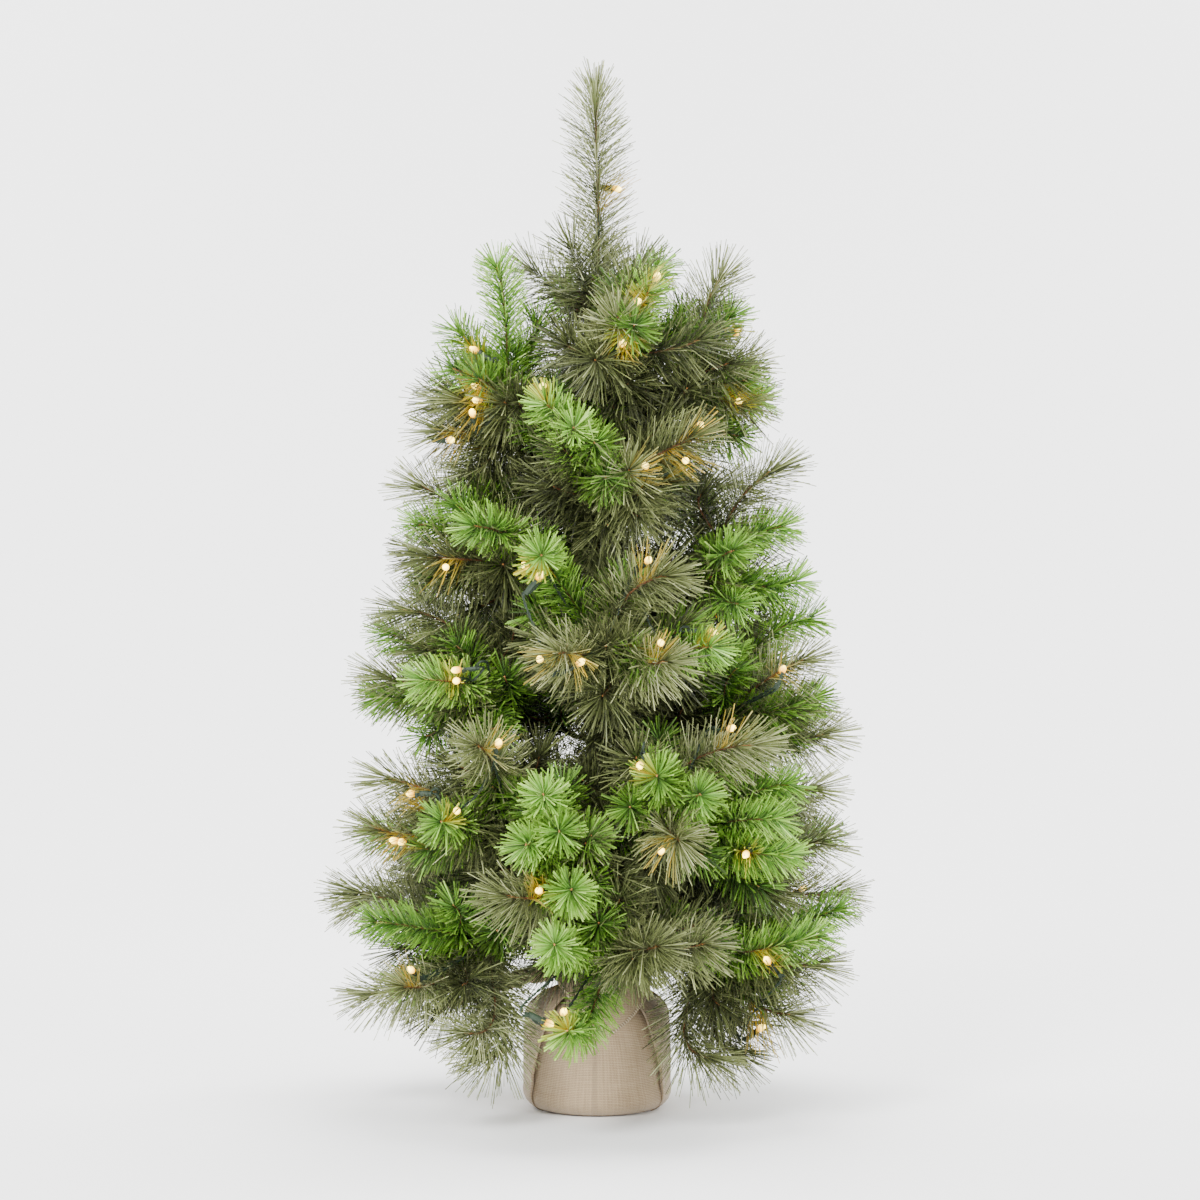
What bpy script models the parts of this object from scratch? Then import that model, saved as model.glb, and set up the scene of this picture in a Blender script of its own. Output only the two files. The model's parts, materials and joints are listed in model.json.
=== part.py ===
"""An artificial tabletop tree: a taped pole with bendable wire branches, standing in a burlap sack.

Metres, +Z up. The origin is the middle of the sack's flat bottom, on the surface it stands on, and
the tree's front faces -Y. A turn is an angle about the trunk, 0 at the front and positive to +X.
"""

import math

import bmesh
import bpy
from mathutils import Matrix, Vector

# Gaps
GAP = 0.0003  # between pieces that touch
SLIDE_GAP = 0.0004  # between a sliding piece and its guide

# Sack
SACK_RADIUS = 0.065
SACK_HEIGHT = 0.118  # floor to the tied neck
SACK_CORNER = 0.017  # round between the bottom and the side
SHOULDER_DROP = 0.038  # the side ends this far under the neck
CLOTH = 0.0015
NECK_RADIUS = 0.021
NECK_LENGTH = 0.012
COLLAR_REACH = 0.040  # from the axis, between the cloth's corners
COLLAR_FLARE = 0.004
COLLAR_CORNERS = ((-95, 0.148, -0.28), (100, 0.150, 0.06), (5, 0.060, -0.35))  # turn, reach, slope
COLLAR_POINT = 8  # how sharply the collar narrows to a corner
SACK_SEGMENTS = 32

# Neck twine
TWINE_RADIUS = 0.0016
TWINE_WRAPS = 3
TWINE_DROP = 0.0006  # under the collar's root

# Pot and weight
POT_WALL = 0.002
POT_CLEARANCE = 0.003  # pot to sack
POT_HEIGHT = 0.074
POT_DRAFT = 0.006  # how much narrower the pot is at its foot
POT_CHAMFER = 0.0085
WEIGHT_HEIGHT = 0.056

# Trunk
POLE_RADIUS = 0.006
POLE_SOCKET = 0.010  # concrete under the pole's foot
TRUNK_HEIGHT = 0.594  # neck to the top of the pole
WRAP_THICKNESS = 0.0022
WRAP_START = 0.030  # under the neck
LEADER_HEIGHT = 0.188
LEADER_RADIUS = 0.014
LEADER_SHAPE = ((0.5, 0.96), (1.0, 0.75), (1.0, 0.2), (0.6, 0.0))  # shares of radius and height

# Crown
CROWN_RADIUS = 0.230
CROWN_TOP_RADIUS = 0.125
CROWN_FOOT_RADIUS = 0.115
WIDEST_HEIGHT = 0.072  # the crown's heights are all above the neck
CROWN_TOP_HEIGHT = 0.632
CROWN_FOOT_HEIGHT = -0.088
CROWN_TAPER = 1.5
CROWN_TUCK = 3.7

# Branches
ROD_RADIUS = 0.0022
ROD_SHARE = 0.38  # of the way from the trunk to the middle of its tips
ROOT_CLEARANCE = 0.0008
FORK_RADIUS = 0.0075
LOBE_RADIUS = {"pine": 0.012, "fir": 0.0095}
LOBE_SIDES = 6
LOBE_RINGS = 5

# Each branch: its turn, its height above the neck in mm, and its tips' kind, turn and height.
BRANCHES = (
    (-64, 52, (("pine", -35, -40), ("pine", -85, -24), ("pine", -50, 0), ("fir", -61, 57),
               ("pine", -76, 80))),
    (-50, 104, (("fir", -37, 145), ("pine", -64, 133), ("pine", -59, 181), ("pine", -28, 216))),
    (-70, 202, (("fir", -74, 242), ("pine", -71, 263), ("fir", -47, 261), ("fir", -75, 306),
                ("pine", -64, 327))),
    (-56, 317, (("pine", -55, 362), ("fir", -36, 391), ("fir", -65, 395), ("pine", -68, 432))),
    (-60, 428, (("pine", -62, 466), ("pine", -53, 497), ("fir", -64, 567), ("fir", -43, 621))),
    (6, 55, (("fir", -8, -33), ("fir", -10, 49), ("pine", 14, 47), ("pine", 25, 48))),
    (-13, 102, (("pine", -21, 83), ("fir", -5, 90), ("fir", -16, 130), ("fir", -8, 143),
                ("fir", -12, 176))),
    (27, 140, (("pine", 18, 127), ("fir", 24, 169), ("fir", 13, 187), ("pine", 41, 212))),
    (5, 227, (("pine", -11, 284), ("pine", 18, 276), ("fir", 31, 289), ("pine", 20, 355),
              ("fir", -16, 372))),
    (0, 370, (("pine", 10, 434), ("fir", -8, 475), ("fir", -18, 497), ("pine", 33, 467))),
    (64, 45, (("pine", 68, -79), ("pine", 58, -31), ("pine", 60, 18), ("fir", 60, 45),
              ("fir", 74, 65))),
    (56, 102, (("fir", 48, 113), ("pine", 64, 121), ("fir", 46, 147), ("pine", 63, 172),
               ("fir", 50, 179))),
    (70, 182, (("pine", 74, 208), ("fir", 72, 245), ("pine", 65, 282), ("fir", 82, 320))),
    (66, 302, (("fir", 73, 340), ("fir", 71, 395), ("pine", 72, 450))),
    (66, 440, (("fir", 75, 498), ("pine", 67, 534), ("fir", 62, 580), ("pine", 59, 614))),
    (12, 485, (("pine", 7, 566), ("fir", 21, 593))),
    (115, 112, (("pine", 98, 60), ("fir", 118, 20), ("pine", 130, 90), ("fir", 106, 118),
                ("pine", 122, 150), ("fir", 142, 55))),
    (180, 104, (("pine", 165, 10), ("fir", 185, 50), ("pine", 205, 20), ("fir", 175, 110),
                ("pine", 195, 130), ("fir", 158, 95))),
    (-118, 122, (("pine", -100, 50), ("fir", -122, 20), ("pine", -134, 80), ("fir", -110, 115),
                 ("pine", -128, 150))),
    (142, 252, (("pine", 105, 225), ("fir", 128, 250), ("pine", 150, 230), ("fir", 165, 280),
                ("pine", 122, 310), ("fir", 146, 330))),
    (-142, 272, (("pine", -108, 240), ("fir", -130, 262), ("pine", -155, 245), ("fir", -172, 290),
                 ("pine", -122, 330), ("fir", -150, 345))),
    (180, 402, (("pine", 128, 430), ("fir", 152, 415), ("pine", 180, 440), ("fir", 208, 420),
                ("pine", 232, 440), ("fir", 160, 520), ("pine", 198, 530))),
)
MM = 0.001

# Lights
LEAD_RADIUS = 0.0012
LEAD_TURN = 95
LEAD_END = 0.010  # under the top of the pole
LEAD_RISES = 12
LEAD_STUB = 0.003  # straight up out of the box
LEAD_BEND = (0.0135, 0.0075, 0.008)  # across, to the rear, and above the box
LEAD_MEET = (12, 0.0006, 0.013)  # before its turn, off the tape, and above the box
LEAD_LAID = 0.020  # above the box, where it first lies on the tape

# Battery box, behind the trunk
CELL_RADIUS = 0.00725
CELL_LENGTH = 0.0495
CELL_NUB_RADIUS = 0.0028
CELL_NUB_LENGTH = 0.0012
CELL_COUNT = 3
CELL_CLEARANCE = 0.0005
CONTACT = 0.0008
BOX_WALL = 0.0015
BOX_LIFT = 0.011  # above the neck
BOX_STAND_OFF = 0.003  # from the trunk's tape
LID = 0.0016
LID_LIP = 0.0012
LID_GROOVE = 0.0009
LEAD_OUT = 0.012  # from the box's middle
CUT_PAST = 0.010  # how far a cutter runs past what it opens
CLIP_WALL = 0.0018
CLIP_HEIGHT = 0.010
CLIP_MOUTH = 0.35  # of the clip's radius, from the axis to the ends of its arms
CLIP_WEB = 0.0035  # half its width
CLIP_SHOULDER = 0.0005  # the clip stands out past its web
SWITCH_TRAVEL = 0.003
SWITCH_SIZE = (0.0022, 0.004, 0.005)  # out of the wall, across it and along it
SWITCH_LIFT = 0.012  # above the box's foot
STEM_INSET = 0.0008  # the stem is this much slimmer than the knob, all round


def clear_scene():
    for thing in list(bpy.data.objects):
        bpy.data.objects.remove(thing, do_unlink=True)


def new_collection(name):
    collection = bpy.data.collections.new(name)
    bpy.context.scene.collection.children.link(collection)
    return collection


def material(name, colour, roughness, metallic=0.0):
    made = bpy.data.materials.new(name)
    made.use_nodes = True
    shader = made.node_tree.nodes["Principled BSDF"]
    shader.inputs["Base Color"].default_value = (*colour, 1.0)
    shader.inputs["Roughness"].default_value = roughness
    shader.inputs["Metallic"].default_value = metallic
    return made


def place(thing, collection, finish=None, parent=None):
    """Links an object, gives it its finish and hangs it from its parent."""
    collection.objects.link(thing)
    if finish:
        thing.data.materials.append(finish)
    if parent:
        thing.parent = parent
    return thing


def mesh_object(name, bm, smooth=True):
    mesh = bpy.data.meshes.new(name)
    bm.to_mesh(mesh)
    bm.free()
    if smooth:
        mesh.shade_smooth()
        mesh.set_sharp_from_angle(angle=math.radians(35))
    return bpy.data.objects.new(name, mesh)


def applied(thing):
    """Turns an object's modifiers into its mesh."""
    bpy.context.view_layer.update()
    seen = thing.evaluated_get(bpy.context.evaluated_depsgraph_get())
    mesh = bpy.data.meshes.new_from_object(seen)
    mesh.name = thing.name
    thing.modifiers.clear()
    thing.data = mesh
    return thing


def boolean(thing, other, operation):
    step = thing.modifiers.new(other.name, "BOOLEAN")
    step.object = other
    step.operation = operation
    step.solver = "EXACT"


def combined(thing, others, operation):
    """Joins pieces to an object, or cuts them out of it, and removes them."""
    for other in others:
        boolean(thing, other, operation)
    applied(thing)
    for other in others:
        bpy.data.objects.remove(other, do_unlink=True)
    return thing


def guide(name, bm, guides):
    """A cutter, or a piece that is about to be joined to another."""
    thing = place(mesh_object(name, bm, smooth=False), guides)
    thing.hide_render = True
    thing.display_type = "WIRE"
    return thing


def turned(name, profile, steps, closed):
    """A profile of (radius, height) turned about Z. An open one starts and ends on the axis."""
    bm = bmesh.new()
    points = [bm.verts.new((radius, 0, height)) for radius, height in profile]
    for first, second in zip(points, points[1:]):
        bm.edges.new((first, second))
    if closed:
        bm.edges.new((points[-1], points[0]))
    thing = mesh_object(name, bm, smooth=False)
    screw = thing.modifiers.new("Turn", "SCREW")
    screw.steps = screw.render_steps = steps
    screw.use_merge_vertices = True
    screw.merge_threshold = 0.00005
    screw.use_smooth_shade = True
    return thing


def box_mesh(low, high):
    bm = bmesh.new()
    size = Vector(high) - Vector(low)
    middle = (Vector(high) + Vector(low)) / 2
    bmesh.ops.create_cube(bm, matrix=Matrix.Translation(middle) @ Matrix.Diagonal((*size, 1)))
    return bm


def tube(name, points, radius, resolution=2):
    curve = bpy.data.curves.new(name, "CURVE")
    curve.dimensions = "3D"
    curve.bevel_depth = radius
    curve.bevel_resolution = resolution
    curve.use_fill_caps = True
    spline = curve.splines.new("POLY")
    spline.points.add(len(points) - 1)
    for point, where in zip(spline.points, points):
        point.co = (*where, 1)
    return bpy.data.objects.new(name, curve)


def facing(turn):
    """The level direction at a turn about the trunk."""
    angle = math.radians(turn)
    return Vector((math.sin(angle), -math.cos(angle), 0))


def on_trunk(turn, radius, height):
    return facing(turn) * radius + Vector((0, 0, height))


def wrap_radius():
    return POLE_RADIUS + GAP + WRAP_THICKNESS


# Sack, pot and weight


def collar_edge(turn):
    """The collar's reach from the axis and its slope at a turn: long at the cloth's corners."""
    reach = COLLAR_REACH
    slope = 0.0
    for corner, corner_reach, corner_slope in COLLAR_CORNERS:
        share = max(0.0, math.cos(math.radians(turn - corner))) ** COLLAR_POINT
        reach += (corner_reach - COLLAR_REACH) * share
        slope += corner_slope * share
    return reach, slope


def sack_rings():
    """The sack's rings from its foot to its neck, as radius and height."""
    side_top = SACK_HEIGHT - SHOULDER_DROP
    rings = [(SACK_RADIUS - SACK_CORNER, 0.0)]
    for angle in (30, 60, 90):
        lean = math.radians(angle)
        rings.append((SACK_RADIUS - SACK_CORNER * (1 - math.sin(lean)),
                      SACK_CORNER * (1 - math.cos(lean))))
    rings.append((SACK_RADIUS, side_top))
    for share in (0.3, 0.6, 0.85, 1.0):
        lean = share * math.pi / 2
        rings.append((NECK_RADIUS + (SACK_RADIUS - NECK_RADIUS) * math.cos(lean),
                      side_top + (SHOULDER_DROP - NECK_LENGTH) * math.sin(lean)))
    rings.append((NECK_RADIUS, SACK_HEIGHT))
    return rings


def sack_ring(bm, radius, height):
    return [bm.verts.new(on_trunk(360 * step / SACK_SEGMENTS, radius, height))
            for step in range(SACK_SEGMENTS)]


def collar_ring(bm, share):
    ring = []
    for step in range(SACK_SEGMENTS):
        turn = 360 * step / SACK_SEGMENTS
        reach, slope = collar_edge(turn)
        out = (reach - NECK_RADIUS) * share
        height = SACK_HEIGHT + COLLAR_FLARE * min(1.0, share * 4) + slope * out
        ring.append(bm.verts.new(on_trunk(turn, NECK_RADIUS + out, height)))
    return ring


def bridge(bm, lower, upper):
    for step in range(len(lower)):
        after = (step + 1) % len(lower)
        bm.faces.new((lower[step], lower[after], upper[after], upper[step]))


def burlap_sack():
    """One square cloth: flat under the pot, gathered at the neck, its corners out as a collar."""
    bm = bmesh.new()
    rings = [sack_ring(bm, *ring) for ring in sack_rings()]
    rings += [collar_ring(bm, share) for share in (0.2, 0.6, 1.0)]
    bm.faces.new(list(reversed(rings[0])))
    for lower, upper in zip(rings, rings[1:]):
        bridge(bm, lower, upper)
    thing = mesh_object("burlap_sack", bm)
    shell = thing.modifiers.new("Cloth", "SOLIDIFY")
    shell.thickness = CLOTH
    shell.offset = -1
    shell.use_even_offset = True
    return thing


def neck_twine():
    """Jute twine wound a few times round the neck, as one ring."""
    inner = NECK_RADIUS + GAP
    profile = []
    for wrap in range(TWINE_WRAPS):
        height = SACK_HEIGHT - TWINE_DROP - TWINE_RADIUS * (1 + 2 * wrap)
        for angle in (60, 0, -60):
            lean = math.radians(angle)
            profile.append((inner + TWINE_RADIUS * (1 + math.cos(lean)),
                            height + TWINE_RADIUS * math.sin(lean)))
    profile += [(inner, profile[-1][1]), (inner, profile[0][1])]
    return turned("neck_twine", profile, 32, closed=True)


def pot_foot():
    return CLOTH + GAP


def pot_radius(height):
    """The pot's outer radius at a height above its foot."""
    return SACK_RADIUS - CLOTH - POT_CLEARANCE - POT_DRAFT * (1 - height / POT_HEIGHT)


def base_pot():
    foot = pot_foot()
    rim = foot + POT_HEIGHT
    profile = [(0, foot + POT_WALL), (pot_radius(0) - POT_CHAMFER - POT_WALL, foot + POT_WALL),
               (pot_radius(POT_CHAMFER) - POT_WALL, foot + POT_WALL + POT_CHAMFER),
               (pot_radius(POT_HEIGHT) - POT_WALL, rim), (pot_radius(POT_HEIGHT), rim),
               (pot_radius(POT_CHAMFER), foot + POT_CHAMFER),
               (pot_radius(0) - POT_CHAMFER, foot), (0, foot)]
    return turned("base_pot", profile, 32, closed=False)


def concrete_weight():
    """Cast in the pot around the pole's foot."""
    foot = pot_foot() + POT_WALL + GAP
    socket = POLE_RADIUS + GAP
    inset = POT_WALL + 2 * GAP
    profile = [(0, foot + POLE_SOCKET), (socket, foot + POLE_SOCKET), (socket, foot + WEIGHT_HEIGHT),
               (pot_radius(WEIGHT_HEIGHT) - inset, foot + WEIGHT_HEIGHT),
               (pot_radius(POT_CHAMFER) - inset, foot + POT_CHAMFER),
               (pot_radius(0) - POT_CHAMFER - inset, foot), (0, foot)]
    return turned("concrete_weight", profile, 32, closed=False)


# Trunk


def trunk_top():
    return SACK_HEIGHT + TRUNK_HEIGHT


def trunk_pole():
    foot = pot_foot() + POT_WALL + 2 * GAP + POLE_SOCKET
    profile = [(0, trunk_top()), (POLE_RADIUS, trunk_top()), (POLE_RADIUS, foot), (0, foot)]
    return turned("trunk_pole", profile, 16, closed=False)


def trunk_tape():
    """The brown tape that binds the branch roots to the pole."""
    inner = POLE_RADIUS + GAP
    outer = wrap_radius()
    foot = SACK_HEIGHT - WRAP_START
    profile = [(inner, trunk_top()), (outer, trunk_top()), (outer, foot), (inner, foot)]
    return turned("trunk_tape", profile, 16, closed=True)


def leader_tip():
    """The upright top tip, on the end of the pole."""
    foot = trunk_top() + GAP
    side = [(LEADER_RADIUS * out, foot + LEADER_HEIGHT * up) for out, up in LEADER_SHAPE]
    profile = [(0, foot + LEADER_HEIGHT), *side, (0, foot)]
    return turned("leader_tip", profile, 12, closed=False)


def light_lead():
    """The light string's lead, from the box to the trunk and up its side."""
    lead_radius = wrap_radius() + GAP + LEAD_RADIUS
    start = Vector((LEAD_OUT, box_front() + BOX_WALL * 2, box_top() + GAP))
    across, rearward, lift = LEAD_BEND
    before, off, meet = LEAD_MEET
    points = [start, start + Vector((0, 0, LEAD_STUB)), Vector((across, rearward, box_top() + lift)),
              on_trunk(LEAD_TURN + before, lead_radius + off, box_top() + meet)]
    laid = box_top() + LEAD_LAID
    for step in range(LEAD_RISES + 1):
        height = laid + (trunk_top() - LEAD_END - laid) * step / LEAD_RISES
        points.append(on_trunk(LEAD_TURN, lead_radius, height))
    return tube("light_lead", points, LEAD_RADIUS)


# Battery box


def bay_width():
    return CELL_COUNT * 2 * (CELL_RADIUS + CELL_CLEARANCE)


def bay_depth():
    return 2 * (CELL_RADIUS + CELL_CLEARANCE)


def bay_height():
    return CELL_LENGTH + CELL_NUB_LENGTH + 2 * (CONTACT + 3 * GAP)


def box_front():
    return wrap_radius() + BOX_STAND_OFF


def box_bottom():
    return SACK_HEIGHT + BOX_LIFT


def box_top():
    return box_bottom() + 2 * BOX_WALL + bay_height()


def box_rear():
    return box_front() + BOX_WALL + bay_depth() + LID + SLIDE_GAP + LID_LIP


def trunk_clip(guides):
    """A springy C that grips the trunk, open at the front."""
    inner = wrap_radius() + GAP
    middle = (box_bottom() + box_top()) / 2
    profile = [(inner, middle + CLIP_HEIGHT / 2), (inner + CLIP_WALL, middle + CLIP_HEIGHT / 2),
               (inner + CLIP_WALL, middle - CLIP_HEIGHT / 2), (inner, middle - CLIP_HEIGHT / 2)]
    ring = applied(place(turned("clip", profile, 24, closed=True), guides))
    past = inner + CLIP_WALL + CUT_PAST
    opening = guide("clip_mouth", box_mesh((-past, -past, middle - CLIP_HEIGHT),
                                           (past, -inner * CLIP_MOUTH, middle + CLIP_HEIGHT)), guides)
    combined(ring, [opening], "DIFFERENCE")
    ring.hide_render = True
    ring.display_type = "WIRE"
    return ring


def battery_box(collection, guides, finish):
    """A tray open at the rear, grooved for a lid that slides in from above, with a trunk clip."""
    half = bay_width() / 2 + BOX_WALL
    front = box_front()
    low = (-half, front, box_bottom())
    thing = place(mesh_object("battery_box", box_mesh(low, (half, box_rear(), box_top())),
                              smooth=False), collection, finish)
    bay_low = box_bottom() + BOX_WALL
    bay = guide("bay", box_mesh((-bay_width() / 2, front + BOX_WALL, bay_low),
                                (bay_width() / 2, lid_front(), bay_low + bay_height())), guides)
    groove = guide("lid_groove", box_mesh(
        (-bay_width() / 2 - LID_GROOVE, lid_front() - SLIDE_GAP, bay_low),
        (bay_width() / 2 + LID_GROOVE, lid_front() + LID + SLIDE_GAP, box_top() + CUT_PAST)),
        guides)
    mouth = guide("lid_mouth", box_mesh(
        (-bay_width() / 2 + SLIDE_GAP, lid_front(), bay_low + SLIDE_GAP),
        (bay_width() / 2 - SLIDE_GAP, box_rear() + CUT_PAST, box_top() + CUT_PAST)), guides)
    middle = switch_middle()
    across = SWITCH_SIZE[1] / 2 - STEM_INSET + SLIDE_GAP
    along = SWITCH_SIZE[2] / 2 - STEM_INSET + SLIDE_GAP
    slot = guide("switch_slot", box_mesh(
        (bay_width() / 2 - BOX_WALL, middle.y - across, middle.z - along),
        (half + BOX_WALL, middle.y + across, middle.z + along + SWITCH_TRAVEL)), guides)
    combined(thing, [trunk_clip(guides), clip_web(guides)], "UNION")
    return combined(thing, [bay, groove, mouth, slot], "DIFFERENCE")


def clip_web(guides):
    """The web that joins the clip to the box."""
    near = wrap_radius() + GAP + CLIP_WALL / 4
    middle = (box_bottom() + box_top()) / 2
    half = CLIP_HEIGHT / 2 - CLIP_SHOULDER
    return guide("clip_web", box_mesh((-CLIP_WEB, near, middle - half),
                                      (CLIP_WEB, box_front() + BOX_WALL / 2, middle + half)), guides)


def lid_front():
    return box_front() + BOX_WALL + bay_depth() + SLIDE_GAP


def battery_lid(parent):
    """Slides up out of the box's grooves."""
    half = bay_width() / 2 + LID_GROOVE - SLIDE_GAP
    foot = box_bottom() + BOX_WALL + SLIDE_GAP
    low = Vector((-half, lid_front(), foot)) - parent.location
    high = Vector((half, lid_front() + LID, box_top() - GAP)) - parent.location
    return mesh_object("battery_lid", box_mesh(low, high), smooth=False)


def switch_middle():
    return Vector((bay_width() / 2 + BOX_WALL, box_front() + BOX_WALL + bay_depth() / 2,
                   box_bottom() + SWITCH_LIFT))


def power_switch(parent, guides):
    """A slide switch: its knob outside the wall and its stem through the slot."""
    out, across, along = SWITCH_SIZE
    knob = mesh_object("power_switch", box_mesh((SLIDE_GAP, -across / 2, -along / 2),
                                                (out, across / 2, along / 2)), smooth=False)
    wide = across / 2 - STEM_INSET
    tall = along / 2 - STEM_INSET
    stem = guide("switch_stem", box_mesh((GAP - BOX_WALL, -wide, -tall), (out / 2, wide, tall)), guides)
    stem.parent = knob.parent = parent
    return knob, stem


def cell_foot():
    return box_bottom() + BOX_WALL + CONTACT + 2 * GAP


def battery_cell(index):
    """A round cell with its nub, every second one upside down."""
    foot = 0.0
    shoulder = CELL_LENGTH
    top = shoulder + CELL_NUB_LENGTH
    profile = [(0, top), (CELL_NUB_RADIUS, top), (CELL_NUB_RADIUS, shoulder), (CELL_RADIUS, shoulder),
               (CELL_RADIUS, foot), (0, foot)]
    thing = turned(f"battery_cell_{index + 1}", profile, 16, closed=False)
    across = (index - (CELL_COUNT - 1) / 2) * 2 * (CELL_RADIUS + CELL_CLEARANCE)
    thing.location = (across, box_front() + BOX_WALL + bay_depth() / 2, cell_foot())
    if index % 2:
        thing.location.z += top
        thing.rotation_euler.x = math.pi
    return thing


def contact_plate(name, low):
    """The sprung contact plate at one end of the cells."""
    half = bay_width() / 2 - GAP
    front = box_front() + BOX_WALL + GAP
    return mesh_object(name, box_mesh((-half, front, low),
                                      (half, front + bay_depth() - 2 * GAP - SLIDE_GAP, low + CONTACT)),
                       smooth=False)


# Branches


def crown_radius(height):
    """The crown's outline: widest low down, narrowing upwards and tucked in at its foot."""
    if height >= WIDEST_HEIGHT:
        share = (height - WIDEST_HEIGHT) / (CROWN_TOP_HEIGHT - WIDEST_HEIGHT)
        return CROWN_RADIUS - (CROWN_RADIUS - CROWN_TOP_RADIUS) * share**CROWN_TAPER
    share = (WIDEST_HEIGHT - height) / (WIDEST_HEIGHT - CROWN_FOOT_HEIGHT)
    return CROWN_RADIUS - (CROWN_RADIUS - CROWN_FOOT_RADIUS) * share**CROWN_TUCK


def tip_end(turn, height):
    above = height * MM
    return on_trunk(turn, crown_radius(above), SACK_HEIGHT + above)


def hinge_place(turn, height):
    return on_trunk(turn, wrap_radius() + ROD_RADIUS + ROOT_CLEARANCE, SACK_HEIGHT + height * MM)


def lobe(start, end, radius, name, guides):
    """One tip's foliage: a slim spindle from the fork to the tip's end."""
    reach = end - start
    spin = reach.to_track_quat("Z", "Y").to_matrix().to_4x4()
    size = Matrix.Diagonal((radius, radius, reach.length / 2, 1))
    bm = bmesh.new()
    bmesh.ops.create_uvsphere(bm, u_segments=LOBE_SIDES, v_segments=LOBE_RINGS, radius=1,
                              matrix=Matrix.Translation((start + end) / 2) @ spin @ size)
    return guide(name, bm, guides)


def branch(index, row, collection, guides, finishes):
    """A wire rod hinged at the trunk, and the spray of tips on its end."""
    turn, height, tips = row
    name = f"branch_{index + 1:02d}"
    root = bpy.data.objects.new(f"{name}_hinge", None)
    root.location = hinge_place(turn, height)
    collection.objects.link(root)
    ends = [tip_end(tip_turn, tip_height) - root.location for _, tip_turn, tip_height in tips]
    middle = sum(ends, Vector()) / len(ends)
    fork = middle * ROD_SHARE
    place(tube(f"{name}_rod", [Vector(), fork], ROD_RADIUS), collection, finishes["wire"], root)
    core = fork + middle.normalized() * (FORK_RADIUS + GAP)
    bm = bmesh.new()
    bmesh.ops.create_icosphere(bm, subdivisions=1, radius=FORK_RADIUS,
                               matrix=Matrix.Translation(core))
    spray = place(mesh_object(f"{name}_tips", bm), collection, finishes["foliage"])
    lobes = [lobe(core, end, LOBE_RADIUS[kind], f"{name}_lobe_{number}", guides)
             for number, ((kind, _, _), end) in enumerate(zip(tips, ends))]
    combined(spray, lobes, "UNION")
    spray.parent = root


def empty(name, where, collection):
    thing = bpy.data.objects.new(name, None)
    thing.location = where
    collection.objects.link(thing)
    return thing


def build_battery(collection, guides, finishes):
    battery_box(collection, guides, finishes["plastic"])
    slide = empty("battery_lid_slide", (0, lid_front(), box_bottom()), collection)
    place(battery_lid(slide), collection, finishes["plastic"], slide)
    travel = empty("power_switch_slide", switch_middle(), collection)
    knob, stem = power_switch(travel, guides)
    combined(place(knob, collection, finishes["switch"]), [stem], "UNION")
    for index in range(CELL_COUNT):
        place(battery_cell(index), collection, finishes["cell"])
    low = box_bottom() + BOX_WALL + GAP
    high = box_bottom() + BOX_WALL + bay_height() - CONTACT - GAP
    place(contact_plate("contact_plate_low", low), collection, finishes["contact"])
    place(contact_plate("contact_plate_high", high), collection, finishes["contact"])


def main():
    clear_scene()
    collection = new_collection("tabletop_tree")
    guides = new_collection("cutters")
    finishes = {
        "burlap": material("burlap", (0.46, 0.36, 0.25), 0.95),
        "twine": material("twine", (0.50, 0.38, 0.24), 0.95),
        "pot": material("pot", (0.05, 0.05, 0.05), 0.5),
        "concrete": material("concrete", (0.45, 0.44, 0.42), 0.9),
        "pole": material("pole", (0.32, 0.20, 0.11), 0.7),
        "tape": material("tape", (0.10, 0.035, 0.025), 0.8),
        "foliage": material("foliage", (0.10, 0.25, 0.07), 0.6),
        "wire": material("wire", (0.20, 0.08, 0.03), 0.6),
        "lead": material("lead", (0.03, 0.09, 0.07), 0.5),
        "plastic": material("plastic", (0.03, 0.10, 0.05), 0.5),
        "switch": material("switch", (0.02, 0.02, 0.02), 0.5),
        "cell": material("cell", (0.12, 0.12, 0.13), 0.35),
        "contact": material("contact", (0.75, 0.74, 0.70), 0.3, 1.0),
    }
    fixed = ((burlap_sack, "burlap"), (neck_twine, "twine"), (base_pot, "pot"),
             (concrete_weight, "concrete"), (trunk_pole, "pole"), (trunk_tape, "tape"),
             (leader_tip, "foliage"), (light_lead, "lead"))
    for make, finish in fixed:
        place(make(), collection, finishes[finish])
    build_battery(collection, guides, finishes)
    for index, row in enumerate(BRANCHES):
        branch(index, row, collection, guides, finishes)


main()
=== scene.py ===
"""The looks of the artificial tabletop tree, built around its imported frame.

The crown's needles, twisted stems, lamps and wires ride on the branch bodies, and the sack, the
leader and the trunk's tinsel ride on the root. Metres, +Z up, the tree's front faces -Y.
"""

import json
import logging
import math
from collections.abc import Callable, Iterable, Sequence
from dataclasses import dataclass, field
from enum import Enum

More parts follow.
